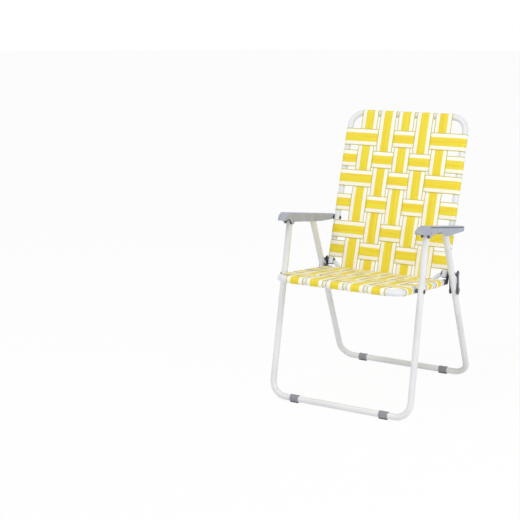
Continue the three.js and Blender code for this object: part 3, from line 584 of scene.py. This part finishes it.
# A strap is drawn by its middle line (distance, out) and a function that puts it in the row frame
def addStrap(name, body, node, line, inRow, across):
    width, thick = webbing["width"], webbing["thick"]
    points = [inRow(point, 0) for point in line]
    mesh = runTree(name, strapTree, points, {
        "Width": width / 1000, "Thickness": thick / 1000, "Edge Round": webbing["edgeRound"] / 1000,
        "Across": across, "Number": float(next(strapNumbers)), "Material": strapWeave})
    # two small rivets hold each end to the tube's far side
    for end, step in ((webbing["rivetStep"], 1), (-1 - webbing["rivetStep"], -1)):
        away = normalTo((line[end + step] - line[end]).normalized()) * step
        for shift in (-webbing["rivetSpread"], webbing["rivetSpread"]):
            root = inRow(line[end] + away * thick / 2, shift)
            tip = inRow(line[end] + away * thick, shift)
            strapRivets[body].append((root, (tip - root).normalized()))
    strap = addPiece(name, mesh, body, [node])


# Weaves a frame: long straps between its bars, then cross straps from rail to rail
def weaveFrame(body, plane, longName, count, pitch, alongs, lowWrap, highWrap):
    xs = [(j - (count - 1) / 2) * pitch for j in range(count)]
    for j, x in enumerate(xs):
        crossings = sorted((along, (i + j) % 2 == 1) for i, along in enumerate(alongs))
        addStrap(f"{body}{longName}Strap{j + 1}", body,
                 f"{body}_strap_{longName.lower()}_{j + 1}",
                 wovenLine(lowWrap, crossings, highWrap),
                 lambda point, shift: toRow(plane, x + shift, point.x, point.y), (1, 0, 0))
    low = wrapRound(xy(-railHalf, 0), strapMid, -90 + tail, -270)
    high = wrapRound(xy(railHalf, 0), strapMid, 90, -90 - tail)
    upward = (toRow(plane, 0, 1) - toRow(plane, 0, 0)).normalized()
    for i, along in enumerate(alongs):
        crossings = [(x, (i + j) % 2 == 0) for j, x in enumerate(xs)]
        addStrap(f"{body}CrossStrap{i + 1}", body, f"{body}_strap_cross_{i + 1}",
                 wovenLine(low, crossings, high),
                 lambda point, shift: toRow(plane, point.x, along + shift, point.y), upward)
    print(body, "woven")


boltAlong = (armRearPivot - backPivot).length
lowerLength = boltAlong - webbing["boltClear"]
upperFree = backLength - boltAlong - len(webbing["backGapShares"]) * webbing["width"]
backCrossAlong = []
reached = boltAlong
for share in reversed(webbing["backGapShares"]):
    reached += upperFree * share
    backCrossAlong.insert(0, reached + webbing["width"] / 2)
    reached += webbing["width"]
for i in range(webbing["backLowerCount"]):
    backCrossAlong.append(lowerLength * (1 - i / webbing["backLowerCount"]) - webbing["width"] / 2)

tail = webbing["tailDegrees"]
barWrap = barRadius + fitGap + webbing["thick"] / 2
weaveFrame("back", backPlane, "Upright", webbing["backCount"], backPitch, backCrossAlong,
           wrapRound(xy(-bars["backDrop"], barLift), barWrap, 270 + tail, 90),
           wrapRound(xy(backLength, 0), strapMid, 90, -90 - tail))
seatPivotAlong = (seatPivot - seatFront).length
seatCrossPitch = (seatBarAlong - seatPivotAlong) / (webbing["seatCrossCount"] - 1)
weaveFrame("seat", seatPlane, "Long", webbing["seatLongCount"],
           railHalf * webbing["seatPitchShare"],
           [seatPivotAlong + (i - 0.5) * seatCrossPitch for i in range(webbing["seatCrossCount"])],
           wrapRound(xy(0, 0), strapMid, 270 + tail, 90),
           wrapRound(xy(seatBarAlong, barLift), barWrap, 90, -90 - tail))


# Rivets at the strap ends: a low dome on each point, turned to face outward
def makeRivetTree():
    add, sizes = startTree("strapEndRivets", ("Radius", "Float"), ("Rise", "Float"))
    ball = add("GeometryNodeMeshUVSphere", {
        "Segments": webbing["rivetSides"], "Rings": webbing["rivetSides"] // 2,
        "Radius": sizes["Radius"]})
    lowness = add("ShaderNodeMath", {0: sizes["Rise"], 1: sizes["Radius"]}, operation="DIVIDE")
    dome = add("GeometryNodeTransform", {
        "Geometry": ball,
        "Scale": add("ShaderNodeCombineXYZ", {"X": 1.0, "Y": 1.0, "Z": lowness})})
    facing = add("GeometryNodeInputNamedAttribute", {"Name": "facing"},
                 data_type="FLOAT_VECTOR")
    turned = add("FunctionNodeAlignRotationToVector", {"Vector": facing}, axis="Z")
    return endTree(sizes, add("GeometryNodeInstanceOnPoints", {
        "Points": sizes["Geometry"], "Instance": dome, "Rotation": turned}))


rivetTree = makeRivetTree()
for body, rivets in strapRivets.items():
    heads = runTree(body + "StrapRivets", rivetTree, [root for root, away in rivets], {
        "Radius": webbing["rivetRadius"] / 1000, "Rise": webbing["rivetRise"] / 1000,
        "Material": rivetSteel}, edges=[], attributes={
        "facing": ("FLOAT_VECTOR", "vector", [c for root, away in rivets for c in away])})
    addPiece(body + "StrapRivets", heads, body, [], smoothTo=60)
print("strap ends riveted")


# Turned pins: a circle runs along each pin's axis, and its radius follows the pin's own steps
def makePinTree():
    add, sizes = startTree("turnedPins", ("Sides", "Int"))
    axis = add("GeometryNodeMeshToCurve", {"Mesh": sizes["Geometry"]})
    girth = add("GeometryNodeInputNamedAttribute", {"Name": "girth"})
    circle = add("GeometryNodeCurvePrimitiveCircle", {
        "Resolution": sizes["Sides"], "Radius": 1.0})
    return endTree(sizes, add("GeometryNodeCurveToMesh", {
        "Curve": axis, "Profile Curve": circle, "Scale": girth, "Fill Caps": True}))


pinTree = makePinTree()
pins = {
    "radius": 3, "headRadius": 6.5, "headThick": 2.4, "sides": 32, "edge": 0.7, "domeSteps": 7,
    "domeTop": 0.05, "leastStep": 0.02,
    "spacerRadius": 6.5, "collarRadius": 7.3, "nutThick": 4, "rivetInnerHead": 1.05,
    "flangeHeadRadius": 4.6, "flangeHeadRise": 0.9, "flangeHeadGap": 0.1,
    "plateThick": 2.4, "plateGap": 1.4, "earThick": 2.4,
}


# A low domed head, from its flat side to its top, and the same turned to the middle plane
def outerHead(flat, thick=pins["headThick"], radius=pins["headRadius"]):
    edge = math.copysign(min(pins["edge"], abs(thick) / 2), thick)
    dome = [(max(radius * turn.x, pins["domeTop"]), between(flat + edge, flat + thick, turn.y))
            for turn in arc(0, 90, pins["domeSteps"])[1:]]
    return [(radius, flat), (radius, flat + edge), *dome]


def innerHead(flat, thick=pins["headThick"], radius=pins["headRadius"]):
    return outerHead(flat, -thick, radius)[::-1]


def rod(start, end, radius=pins["radius"]):
    return [(radius, start), (radius, end)]


# Pins at the left and right, drawn by steps of (radius, distance from the middle plane)
def addPins(node, body, centre, steps, material=darkSteel):
    spaced = steps[:1]
    for radius, x in steps[1:]:
        spaced.append((radius, max(x, spaced[-1][1] + pins["leastStep"])))
    count = len(spaced)
    points = [Vector((sign * x, centre.x - middleY, centre.y)) / 1000
              for sign in sides.values() for radius, x in spaced]
    edges = [(i, i + 1) for i in range(len(points) - 1) if i != count - 1]
    girths = [radius / 1000 for radius, x in spaced] * 2
    mesh = runTree(node, pinTree, points, {"Sides": pins["sides"], "Material": material},
                   edges, {"girth": ("FLOAT", "value", girths)})
    addPair(node, mesh, body)


arms = {
    "width": 30, "noseWidth": 35, "height": 24, "frontHigher": 5, "wall": 2.6,
    "lugFrom": 24, "lugTip": 4, "lugDrop": 8.5, "lugRound": 6, "notchFrom": 16, "notchRise": 5,
    "archFrom": 12, "archTo": 15, "archRise": 8, "socketDrop": 4, "socketHalf": 19,
    "bottomRound": 6, "noseLength": 46, "noseDrop": 20, "frontRise": 3,
    "tailLength": 106, "tailRise": 7, "tailDrop": 8, "tailRound": 5, "tailTaper": 4,
    "tipFromInner": 14, "noseCorner": 28, "noseCornerBehind": 3, "neckFrom": 38, "neckLength": 24,
    "topRound": 3.2, "lip": 1.2, "noseRound": 13, "roundFrom": 24, "roundTo": 50,
    "noseSlope": 0.4, "cavityCorner": 1, "noseCavity": 6, "crown": 0.7, "edge": 0.6,
    "grooveFrom": 50, "grooveTo": 356, "grooveDeep": 1.5, "grooveDown": 2.6, "grooveTall": 2.6,
    "grooveRamp": 6, "station": 4, "leastStation": 0.35, "bendSteps": 14, "neckSteps": 12,
    "cornerSteps": 6, "crownSteps": 6, "fineHeight": 4, "softShare": 0.46, "softAcross": 2.2,
    "slotClear": 0.3, "slotDown": 0.3, "slotTall": 0.2, "noseSlotTall": 0.12,
    "slotCorners": (0.2, 0.1, 0.5, 0.15), "hollowStep": 0.02,
    "capShares": (0.08, 0.1, 0.12, 0.14, 0.86, 0.88, 0.9, 0.92),
    "endStations": (0.02, 0.4, 1.0, 1.8), "firstStation": 3.4, "endClear": 3,
    "grooveStations": (-0.1, 3, 6.1),
}
headRadius = pins["headRadius"]


def besideLeg(half):
    return half - tubeRadius - fitGap, half + tubeRadius + fitGap


railHeadX = railInner - fitGap
spacerX = railHalf + strapMid + webbing["thick"] / 2 + fitGap
legInnerX, legOuterX = besideLeg(seatLegHalf)
innerPlateX = linkLegHalf - tubeRadius - pins["plateGap"] - pins["plateThick"]
outerPlateX = linkLegHalf + tubeRadius + pins["plateGap"]
innerHeadX = innerPlateX - fitGap
outerHeadX = outerPlateX + pins["plateThick"] + fitGap
sleeveFrom = innerPlateX + pins["plateThick"] + fitGap
sleeveTo = outerPlateX - fitGap
earX = railOuter + fitGap
studEnd = earX + pins["earThick"] + fitGap
armWall = arms["wall"]
armOuterX = armInnerX + arms["width"]
channelInner = armInnerX + armWall + fitGap
channelOuter = armOuterX - armWall - fitGap
collarEnd = armInnerX - fitGap

addPins("seat_leg_rivet", "front_legs", seatPivot, [
    *rod(spacerX, legInnerX, pins["spacerRadius"]), *rod(legInnerX, legOuterX),
    *outerHead(legOuterX)])
addPins("seat_rail_rivet", "seat", seatPivot, [
    *innerHead(railHeadX), *rod(railHeadX, spacerX - fitGap)])
addPins("link_leg_rivet", "rear_legs", linkPivot, [
    *innerHead(innerHeadX, pins["rivetInnerHead"]), *rod(innerHeadX, outerHeadX),
    *outerHead(outerHeadX)], paleSteelAndRibHighlight)
addPins("back_pivot_stud", "back", backPivot, [*innerHead(railHeadX), *rod(railHeadX, studEnd)])
addPins("link_stop_pin", "links", backPivot, [
    *rod(studEnd + fitGap, sleeveFrom), *rod(sleeveFrom, sleeveTo, stopRadius),
    *rod(sleeveTo, outerHeadX), *outerHead(outerHeadX)], paleSteelAndRibHighlight)
addPins("arm_rear_bolt", "arms", armRearPivot, [
    *innerHead(railHeadX), *rod(railHeadX, earX), *rod(earX, collarEnd, pins["collarRadius"]),
    *rod(collarEnd, channelInner), *outerHead(channelInner, pins["nutThick"])])
# the leg pins stand in the channel beside each leg, and end in small heads on the arm's flanges
armLegIn, armLegOut = besideLeg(legTopHalf)
flangeIn = armInnerX - pins["flangeHeadGap"]
flangeOut = armOuterX + pins["flangeHeadGap"]
flangeHead = (pins["flangeHeadRise"], pins["flangeHeadRadius"])
for row, centre in (("front", armFrontPivot), ("rear", armMidPivot)):
    addPins(f"{row}_leg_arm_pin", f"{row}_legs", centre, [
        *innerHead(flangeIn, *flangeHead), *rod(flangeIn, channelInner),
        *rod(channelInner, armLegIn, headRadius), *rod(armLegIn, armLegOut),
        *rod(armLegOut, channelOuter, headRadius), *rod(channelOuter, flangeOut),
        *outerHead(flangeOut, *flangeHead)], rivetSteel)
print("pins turned")


# Plates at the left and right, with softened edges: rings of the outline from face to face
def platePair(plane, outline, fromX, toX, bevel):
    pair = []
    for sign in sides.values():
        low, high = sorted((sign * fromX, sign * toX))
        steps = ((low, bevel), (low + bevel, 0), (high - bevel, 0), (high, bevel))
        pair.append([[toRow(plane, x, point.x, point.y) for point in outline(inset)]
                     for x, inset in steps])
    return pair


links = {"lobe": 24.4, "waist": 17, "bevel": 0.5, "steps": 20,
              "ribHalf": 5.8, "ribRise": 0.6, "ribDeep": 1, "ribFromEnd": 11.5, "ribSteps": 10}


# Two lobes on the link's line. Each opens toward the other by twice the angle.
def lobes(fromEnd, radius, opening, steps):
    turns = arc(opening, 360 - opening, steps)
    return ([xy(fromEnd, 0) + turn * radius for turn in turns]
            + [xy(linkLength - fromEnd, 0) - turn * radius for turn in turns])


def linkOutline(inset):
    opening = math.degrees(math.asin(links["waist"] / links["lobe"]))
    return lobes(0, links["lobe"] / 2 - inset, opening, links["steps"])


def ribOutline(inset):
    return lobes(links["ribFromEnd"], links["ribHalf"] - inset, 90,
                 links["ribSteps"])


for layer, plateX in (("inner", innerPlateX), ("outer", outerPlateX)):
    plates = platePair(linkPlane, linkOutline, plateX, plateX + pins["plateThick"],
                       links["bevel"])
    addPiece(f"{layer}LinkPlates", skinOver("plates", plates, darkSteel), "links",
             [f"link_plate_{layer}_{side}" for side in sides])
faceX = outerPlateX + pins["plateThick"]
ribs = platePair(linkPlane, ribOutline, faceX - links["ribDeep"],
                 faceX + links["ribRise"], links["ribRise"])
# the ribs are paler than the plates: a painted highlight down each plate's middle
addPiece("linkRibs", skinOver("ribs", ribs, paleSteelAndRibHighlight), "links", [])

ears = {"lobe": 15.5, "foot": 26, "bevel": 0.5, "steps": 18}
pivotInSeat = inPlane(seatPlane, backPivot)


def earOutline(inset):
    low = tubeRadius / 2 - inset
    front = seatLength - ears["foot"] + inset
    lobe = [pivotInSeat + turn * (ears["lobe"] / 2 - inset) for turn in arc(0, 180, ears["steps"])]
    return [xy(front, -low), xy(seatLength - inset, -low), *lobe, xy(front, low)]


earPlates = platePair(seatPlane, earOutline, earX, earX + pins["earThick"], ears["bevel"])
addPair("seat_hinge_ear", skinOver("ears", earPlates, darkSteel), "seat")
print("links and ears pressed")


# Plugs: a low crowned cap over each open tube end
def plugRings(plane, x, along, outward):
    radius = tubeRadius - plugs["step"] / 2
    flange = plugs["flange"]
    rim = flange - plugs["rimDeep"]
    profile = [(radius, -2 * plugs["sink"]), (radius, rim),
               *((radius - plugs["rimRound"] * (1 - turn.x), rim + plugs["rimRise"] * turn.y)
                 for turn in arc(0, 90, plugs["rimSteps"])[1:-1]),
               (radius * plugs["flatShare"], flange - plugs["sink"]), (plugs["pip"], flange)]
    return [[toRow(plane, x + r * turn.x, along + outward * rise, r * turn.y)
             for turn in arc(0, 360, plugs["sides"])[:-1]] for r, rise in profile]


for body, plane, along, outward in (("back", backPlane, -tubeEndDrop, -1),
                                    ("seat", seatPlane, seatLength, 1)):
    caps = [plugRings(plane, sign * railHalf, along, outward) for sign in sides.values()]
    addPair(f"{body}_end_plug", skinOver("plugs", caps, plasticBlack), body)

# Foot clips: a moulded sleeve with a rim at each end and a flat pad below
clips = {"length": 28, "pad": 15, "rim": 2.2, "waist": 0.55, "edge": 0.6,
         "frontShare": 0.647, "rearShare": 0.634, "steps": 44}


def clipOutline(radius, floor):
    halfPad = clips["pad"] / 2
    opening = math.degrees(math.asin(halfPad / radius))
    turns = arc(opening - 90, 270 - opening, clips["steps"])
    return [xy(halfPad, floor), *(turn * radius for turn in turns), xy(-halfPad, floor)]


def clipRings(centreX, foot):
    outer = tubeRadius + fitGap + chair["clipWall"]
    half = clips["length"] / 2
    bore = tubeRadius + fitGap / 2
    edge = clips["edge"]
    stations = [(-half, bore, -bore), (-half, outer - edge, edge - outer),
                (-half + edge, outer, -outer), (-half + clips["rim"], outer, -outer),
                (-half + clips["rim"] + edge, outer - clips["waist"], -outer)]
    stations += [(-x, radius, floor) for x, radius, floor in reversed(stations)]
    return [[Vector((centreX + x, foot.x + point.x - middleY, foot.y + point.y)) / 1000
             for point in clipOutline(radius, floor)] for x, radius, floor in stations]


for row, foot in (("front", frontFoot), ("rear", rearFoot)):
    sleeves = [clipRings(sign * clips[f"{row}Share"] * footHalf, foot) for sign in sides.values()]
    addPair(f"{row}_foot_clip", skinOver("clips", sleeves, clipGrey, endless=True),
            f"{row}_legs")
print("plugs and clips moulded")

# Armrests: a moulded channel, its section drawn at each station along the arm
armLength = (armRearPivot - armTip).length + chair["armPastBolt"]
armTop = arms["height"] / 2
armHigh = armTop + arms["frontHigher"]
armEdge = -armTop
frontEdge = armEdge + arms["frontRise"]
frontAlong = chair["armFrontPivotAlong"]
midAlong = inPlane(armPlane, armMidPivot).x


# A line through points. Where two points are given together, the line bends from its last point,
# drawn to the first, and ends at the second.
def drawn(parts, steps=arms["bendSteps"]):
    line = []
    for part in parts:
        if isinstance(part[0], tuple):
            start, corner, end = line[-1], Vector(part[0]), Vector(part[1])
            line += [start * (1 - t) ** 2 + corner * 2 * t * (1 - t) + end * t * t
                     for t in shares(steps)]
        else:
            line.append(Vector(part))
    return line


def lowerEdge(outerFlange):
    lugFrom = frontAlong - arms["lugFrom"]
    lugTip = frontAlong - arms["lugTip"]
    lugLow = armEdge - arms["lugDrop"]
    lugRound = arms["lugRound"]
    notch = frontEdge + arms["notchRise"]
    archFrom = frontAlong + arms["archFrom"]
    archTo = midAlong - arms["archTo"]
    archHigh = armEdge + arms["archRise"]
    middle = (archFrom + archTo) / 2
    socket = armEdge - arms["socketDrop"]
    socketTo = midAlong + arms["socketHalf"]
    start = [(0, armHigh - arms["noseDrop"]), ((0, frontEdge), (arms["bottomRound"], frontEdge))]
    lug = [(lugTip, lugLow), ((lugTip + lugRound, lugLow), (lugTip + 2 * lugRound, armEdge))]
    end = [(armLength - arms["tailLength"], armEdge), (armLength, armEdge + arms["tailRise"])]
    if not outerFlange:
        return drawn([*start, (arms["notchFrom"], frontEdge),
                      ((arms["notchFrom"] + arms["notchRise"], notch), (lugFrom, notch)),
                      *lug, *end])
    return drawn([*start, (lugFrom + lugRound, frontEdge), *lug, (archFrom, armEdge),
                  (((archFrom + middle) / 2, archHigh), (middle, archHigh)),
                  (((archTo + middle) / 2, archHigh), (archTo, socket)),
                  (socketTo, socket), (socketTo + arms["bottomRound"], armEdge), *end])


def upperEdge(drop):
    noseLow = armHigh - drop - arms["noseDrop"]
    noseBend = between(drop, arms["noseLength"], arms["noseSlope"])
    top, rear = armTop - drop, armLength - drop
    return drawn([(drop, noseLow),
                  ((noseBend, armHigh - drop), (arms["noseLength"], armHigh - drop)),
                  (rear - arms["tailDrop"], top), ((rear, top), (rear, top - arms["tailDrop"]))])


def heightAt(line, along):
    for a, b in zip(line, line[1:]):
        if along <= b.x:
            return between(a.y, b.y, max(0, (along - a.x) / max(b.x - a.x, 1e-6)))
    return line[-1].y


# The arm's two edges in plan, drawn as (along, across from the inner face)
def planEdges(inset):
    rear = armLength - inset
    tailRound = arms["tailRound"] - inset
    inner, outer = inset, arms["width"] - inset
    nose = arms["noseWidth"] - inset
    neck = arms["neckFrom"]
    tip = (inset, arms["tipFromInner"])
    noseCorner = (arms["noseCornerBehind"] + inset, arms["noseCorner"] - inset)
    rearOuter = outer - arms["tailTaper"]
    innerEdge = [tip, ((inset, inner), (inset + arms["tipFromInner"], inner)),
                 (rear - tailRound, inner), ((rear, inner), (rear, inner + tailRound))]
    outerEdge = [tip, (noseCorner, (neck, nose)),
                 *((neck + arms["neckLength"] * share, between(nose, outer, eased(share)))
                   for share in shares(arms["neckSteps"])),
                 (armLength - arms["tailLength"], outer), (rear - tailRound, rearOuter),
                 ((rear, rearOuter), (rear, rearOuter - tailRound))]
    return drawn(innerEdge), drawn(outerEdge)


outside = (*planEdges(0), lowerEdge(False), lowerEdge(True), upperEdge(0))
cavity = (*planEdges(armWall), upperEdge(armWall))


# A quarter turn of the section's outside, clockwise from an angle, as (across, out, painted groove
# shade)
def roundedCorner(across, out, radius, fromDegrees):
    return [(across + radius * turn.x, out + radius * turn.y, 0)
            for turn in arc(fromDegrees, fromDegrees - 90, arms["cornerSteps"])]


# One section as a closed ring of (across, out, painted groove shade): across runs from the arm's
# inner face
def armSection(along, hollow):
    inner, outer, lowIn, lowOut, top = (heightAt(line, along) for line in outside)
    low = max(lowIn, lowOut)
    height = top - low
    fine = min(1, height / arms["fineHeight"])  # the nose and tail run out to almost nothing
    crown, edge = arms["crown"] * fine, arms["edge"] * fine
    roundSpan = arms["roundTo"] - arms["roundFrom"]
    rounder = eased(min(1, max(0, (arms["roundTo"] - along) / roundSpan)))
    soft = min(between(arms["topRound"], arms["noseRound"], rounder),
               height * arms["softShare"], (outer - inner) / arms["softAcross"])
    lip = min(soft, between(arms["lip"], arms["noseRound"], rounder))
    grooved = max(0, min(arms["grooveRamp"], along - arms["grooveFrom"],
                         arms["grooveTo"] - along)) / arms["grooveRamp"]
    floorX = outer - arms["grooveDeep"] * grooved
    wallTop = top - crown
    slotTop = wallTop - max(lip + arms["slotClear"] * fine,
                            min(arms["grooveDown"], height * arms["slotDown"]))
    slotLow = slotTop - min(arms["grooveTall"],
                            height * arms["noseSlotTall" if rounder else "slotTall"])
    rimUp, floorDown, floorUp, footShare = arms["slotCorners"]
    ring = [(inner, lowIn + edge, 0), *roundedCorner(inner + soft, wallTop - soft, soft, 180)]
    for u in shares(arms["crownSteps"])[:-1]:
        ring.append((between(inner + soft, outer - soft, u), top - crown * (2 * u - 1) ** 2, 0))
    ring += roundedCorner(outer - lip, wallTop - lip, lip, 90)
    # the groove floor's two points carry the painted shade
    ring += [(outer, slotTop + rimUp * fine, 0), (floorX, slotTop - floorDown * fine, grooved > 0),
             (floorX, slotLow + floorUp * fine, grooved > 0),
             (between(outer, floorX, footShare), slotLow, 0),
             (outer, lowOut + edge, 0), (outer - edge, lowOut, 0)]
    if hollow:
        cavityIn, cavityOut, ceiling = (heightAt(line, along) for line in cavity)
        corner = min(between(arms["cavityCorner"], arms["noseCavity"], rounder),
                     (cavityOut - cavityIn) / 3, (ceiling - low) / 3)
        ring += [(cavityOut + edge, lowOut, 0), (cavityOut, lowOut + edge, 0),
                 (cavityOut, ceiling - corner, 0), (cavityOut - corner, ceiling, 0),
                 (cavityIn + corner, ceiling, 0), (cavityIn, ceiling - corner, 0),
                 (cavityIn, lowIn + edge, 0), (cavityIn - edge, lowIn, 0)]
    else:
        ring += [(between(outer, inner, u), between(lowOut, lowIn, u), 0)
                 for u in arms["capShares"]]
    return ring + [(inner + edge, lowIn, 0)]


# Places along the arm that need a section, closer at its ends and where an edge turns
def armStations():
    marks = {end for near in arms["endStations"] for end in (near, armLength - near)}
    along = arms["firstStation"]
    rear = armLength - arms["endClear"]
    while along < rear:
        marks.add(along)
        along += arms["station"]
    for line in outside[1:]:
        marks.update(point.x for point in line if arms["endClear"] < point.x < rear)
    for past in arms["grooveStations"]:
        marks.update((arms["grooveFrom"] + past, arms["grooveTo"] - past))
    kept = []
    for mark in sorted(marks):
        if not kept or mark - kept[-1] > arms["leastStation"]:
            kept.append(mark)
    return kept


def armMesh(sign):
    rear = armLength - armWall
    step = arms["hollowStep"]
    stations = sorted([(along, armWall < along < rear) for along in armStations()] + [
        (armWall, False), (armWall + step, True), (rear - step, True), (rear, False)])
    sections = [(along, armSection(along, hollow)) for along, hollow in stations]
    rings = [[toRow(armPlane, sign * (armInnerX + across), along, out)
              for across, out, recess in section] for along, section in sections]
    # each point's painted groove shade, ring by ring
    paintedGrooveShades = [float(recess) for along, section in sections for across, out, recess in section]
    return skinOver("armrest", [rings], armGrey, values=paintedGrooveShades)


for side, sign in sides.items():
    addPiece(f"armrest{side.capitalize()}", armMesh(sign), "arms",
             [f"armrest_{side}"], smoothTo=40)

# Stop pad: a bridge in the channel ahead of the leg, and a prong hanging on each side of the leg
pads = {"length": 7, "rise": 1, "bevel": 0.5, "prongWidth": 3.4, "prongAhead": 7.2,
            "prongLength": 6.2, "prongBelow": 11, "prongBevel": 1.2, "bendSteps": 8}
padRear = frontAlong - math.hypot(tubes["legTopPast"], tubeRadius) - fitGap
padLow = frontEdge + pads["rise"]
padHigh = armTop - armWall - fitGap


def padOutline(inset):
    low, high = padLow + inset, padHigh - inset
    front, rear = padRear - pads["length"] + inset, padRear - inset
    return drawn([(front, low), (rear, low), (rear, high), (front, high)])


def prongOutline(inset):
    rear = frontAlong - pads["prongAhead"] - inset
    front = rear - pads["prongLength"] + 2 * inset
    low = frontEdge - pads["prongBelow"] + inset
    high = padLow + pads["prongLength"]
    return drawn([(front, high), (front, padLow), ((front, low), ((front + rear) / 2, low)),
                  ((rear, low), (rear, armEdge)), (padRear - inset, padLow),
                  (padRear - inset, high)], pads["bendSteps"])


padParts = []
prongWidth = pads["prongWidth"]
for outline, fromX, toX, bevel in (
        (padOutline, channelInner, channelOuter, "bevel"),
        (prongOutline, channelInner, channelInner + prongWidth, "prongBevel"),
        (prongOutline, channelOuter - prongWidth, channelOuter, "prongBevel")):
    padParts += platePair(armPlane, outline, fromX, toX, pads[bevel])
addPair("arm_stop_pad", skinOver("pads", padParts, plasticBlack), "arms")
print("arms moulded")

# The floor is pale and takes the chair's shadow. To the camera, and in reflections, it is lit up
# to the white of the background. Lamps have their power, their size and their place.
room = {"floorRadius": 30, "floorSides": 64, "floorGlow": 0.93, "ambient": 0.62, "aimHeight": 0.42,
        "key": (33, 1.8, (-0.9, -1.8, 3.2)), "fill": (22, 1.6, (2.3, -1.0, 1.5))}


# 1 where the camera looks straight at a surface, in a reflection or through glass
def seenDirectly(add):
    ray = add("ShaderNodeLightPath").outputs
    seen = add("ShaderNodeMath", {0: ray["Is Camera Ray"], 1: ray["Is Glossy Ray"]},
               operation="MAXIMUM")
    return add("ShaderNodeMath", {0: seen, 1: ray["Is Transmission Ray"]}, operation="MAXIMUM")


def emptyTree(owner):
    owner.use_nodes = True
    owner.node_tree.nodes.clear()
    return partial(addNode, owner.node_tree)


floorMesh = bpy.data.meshes.new("floor")
floorEdge = [(*turn * room["floorRadius"], 0) for turn in arc(0, 360, room["floorSides"])[:-1]]
floorMesh.from_pydata(floorEdge, [], [tuple(range(room["floorSides"]))])
floorMaterial = bpy.data.materials.new("paleFloor")
add = emptyTree(floorMaterial)
matt = add("ShaderNodeBsdfDiffuse", {"Color": toLinear("F7F7F7")})
glow = add("ShaderNodeEmission", {"Color": (1, 1, 1, 1), "Strength": 1.0})
glowShare = add("ShaderNodeMath", {0: seenDirectly(add), 1: room["floorGlow"]},
                operation="MULTIPLY")
add("ShaderNodeOutputMaterial", {
    "Surface": add("ShaderNodeMixShader", {0: glowShare, 1: matt, 2: glow})})
floorMesh.materials.append(floorMaterial)
floor = addObject("floor", floorMesh)

world = bpy.data.worlds.new("studio")
bpy.context.scene.world = world
add = emptyTree(world)
level = add("ShaderNodeMapRange", {"Value": seenDirectly(add), "To Min": room["ambient"],
            "To Max": 1.0})
sky = add("ShaderNodeBackground", {"Color": (1, 1, 1, 1), "Strength": level})
add("ShaderNodeOutputWorld", {"Surface": sky})

for name in ("key", "fill"):
    power, size, place = room[name]
    lampData = bpy.data.lights.new(name, "AREA")
    lampData.energy = power
    lampData.size = size
    lamp = addObject(name, lampData)
    lamp.location = place
    aim = Vector((0, 0, room["aimHeight"])) - Vector(place)
    lamp.rotation_euler = aim.to_track_quat("-Z", "Y").to_euler()
bpy.context.scene.view_settings.view_transform = "Standard"
print("stage lit")
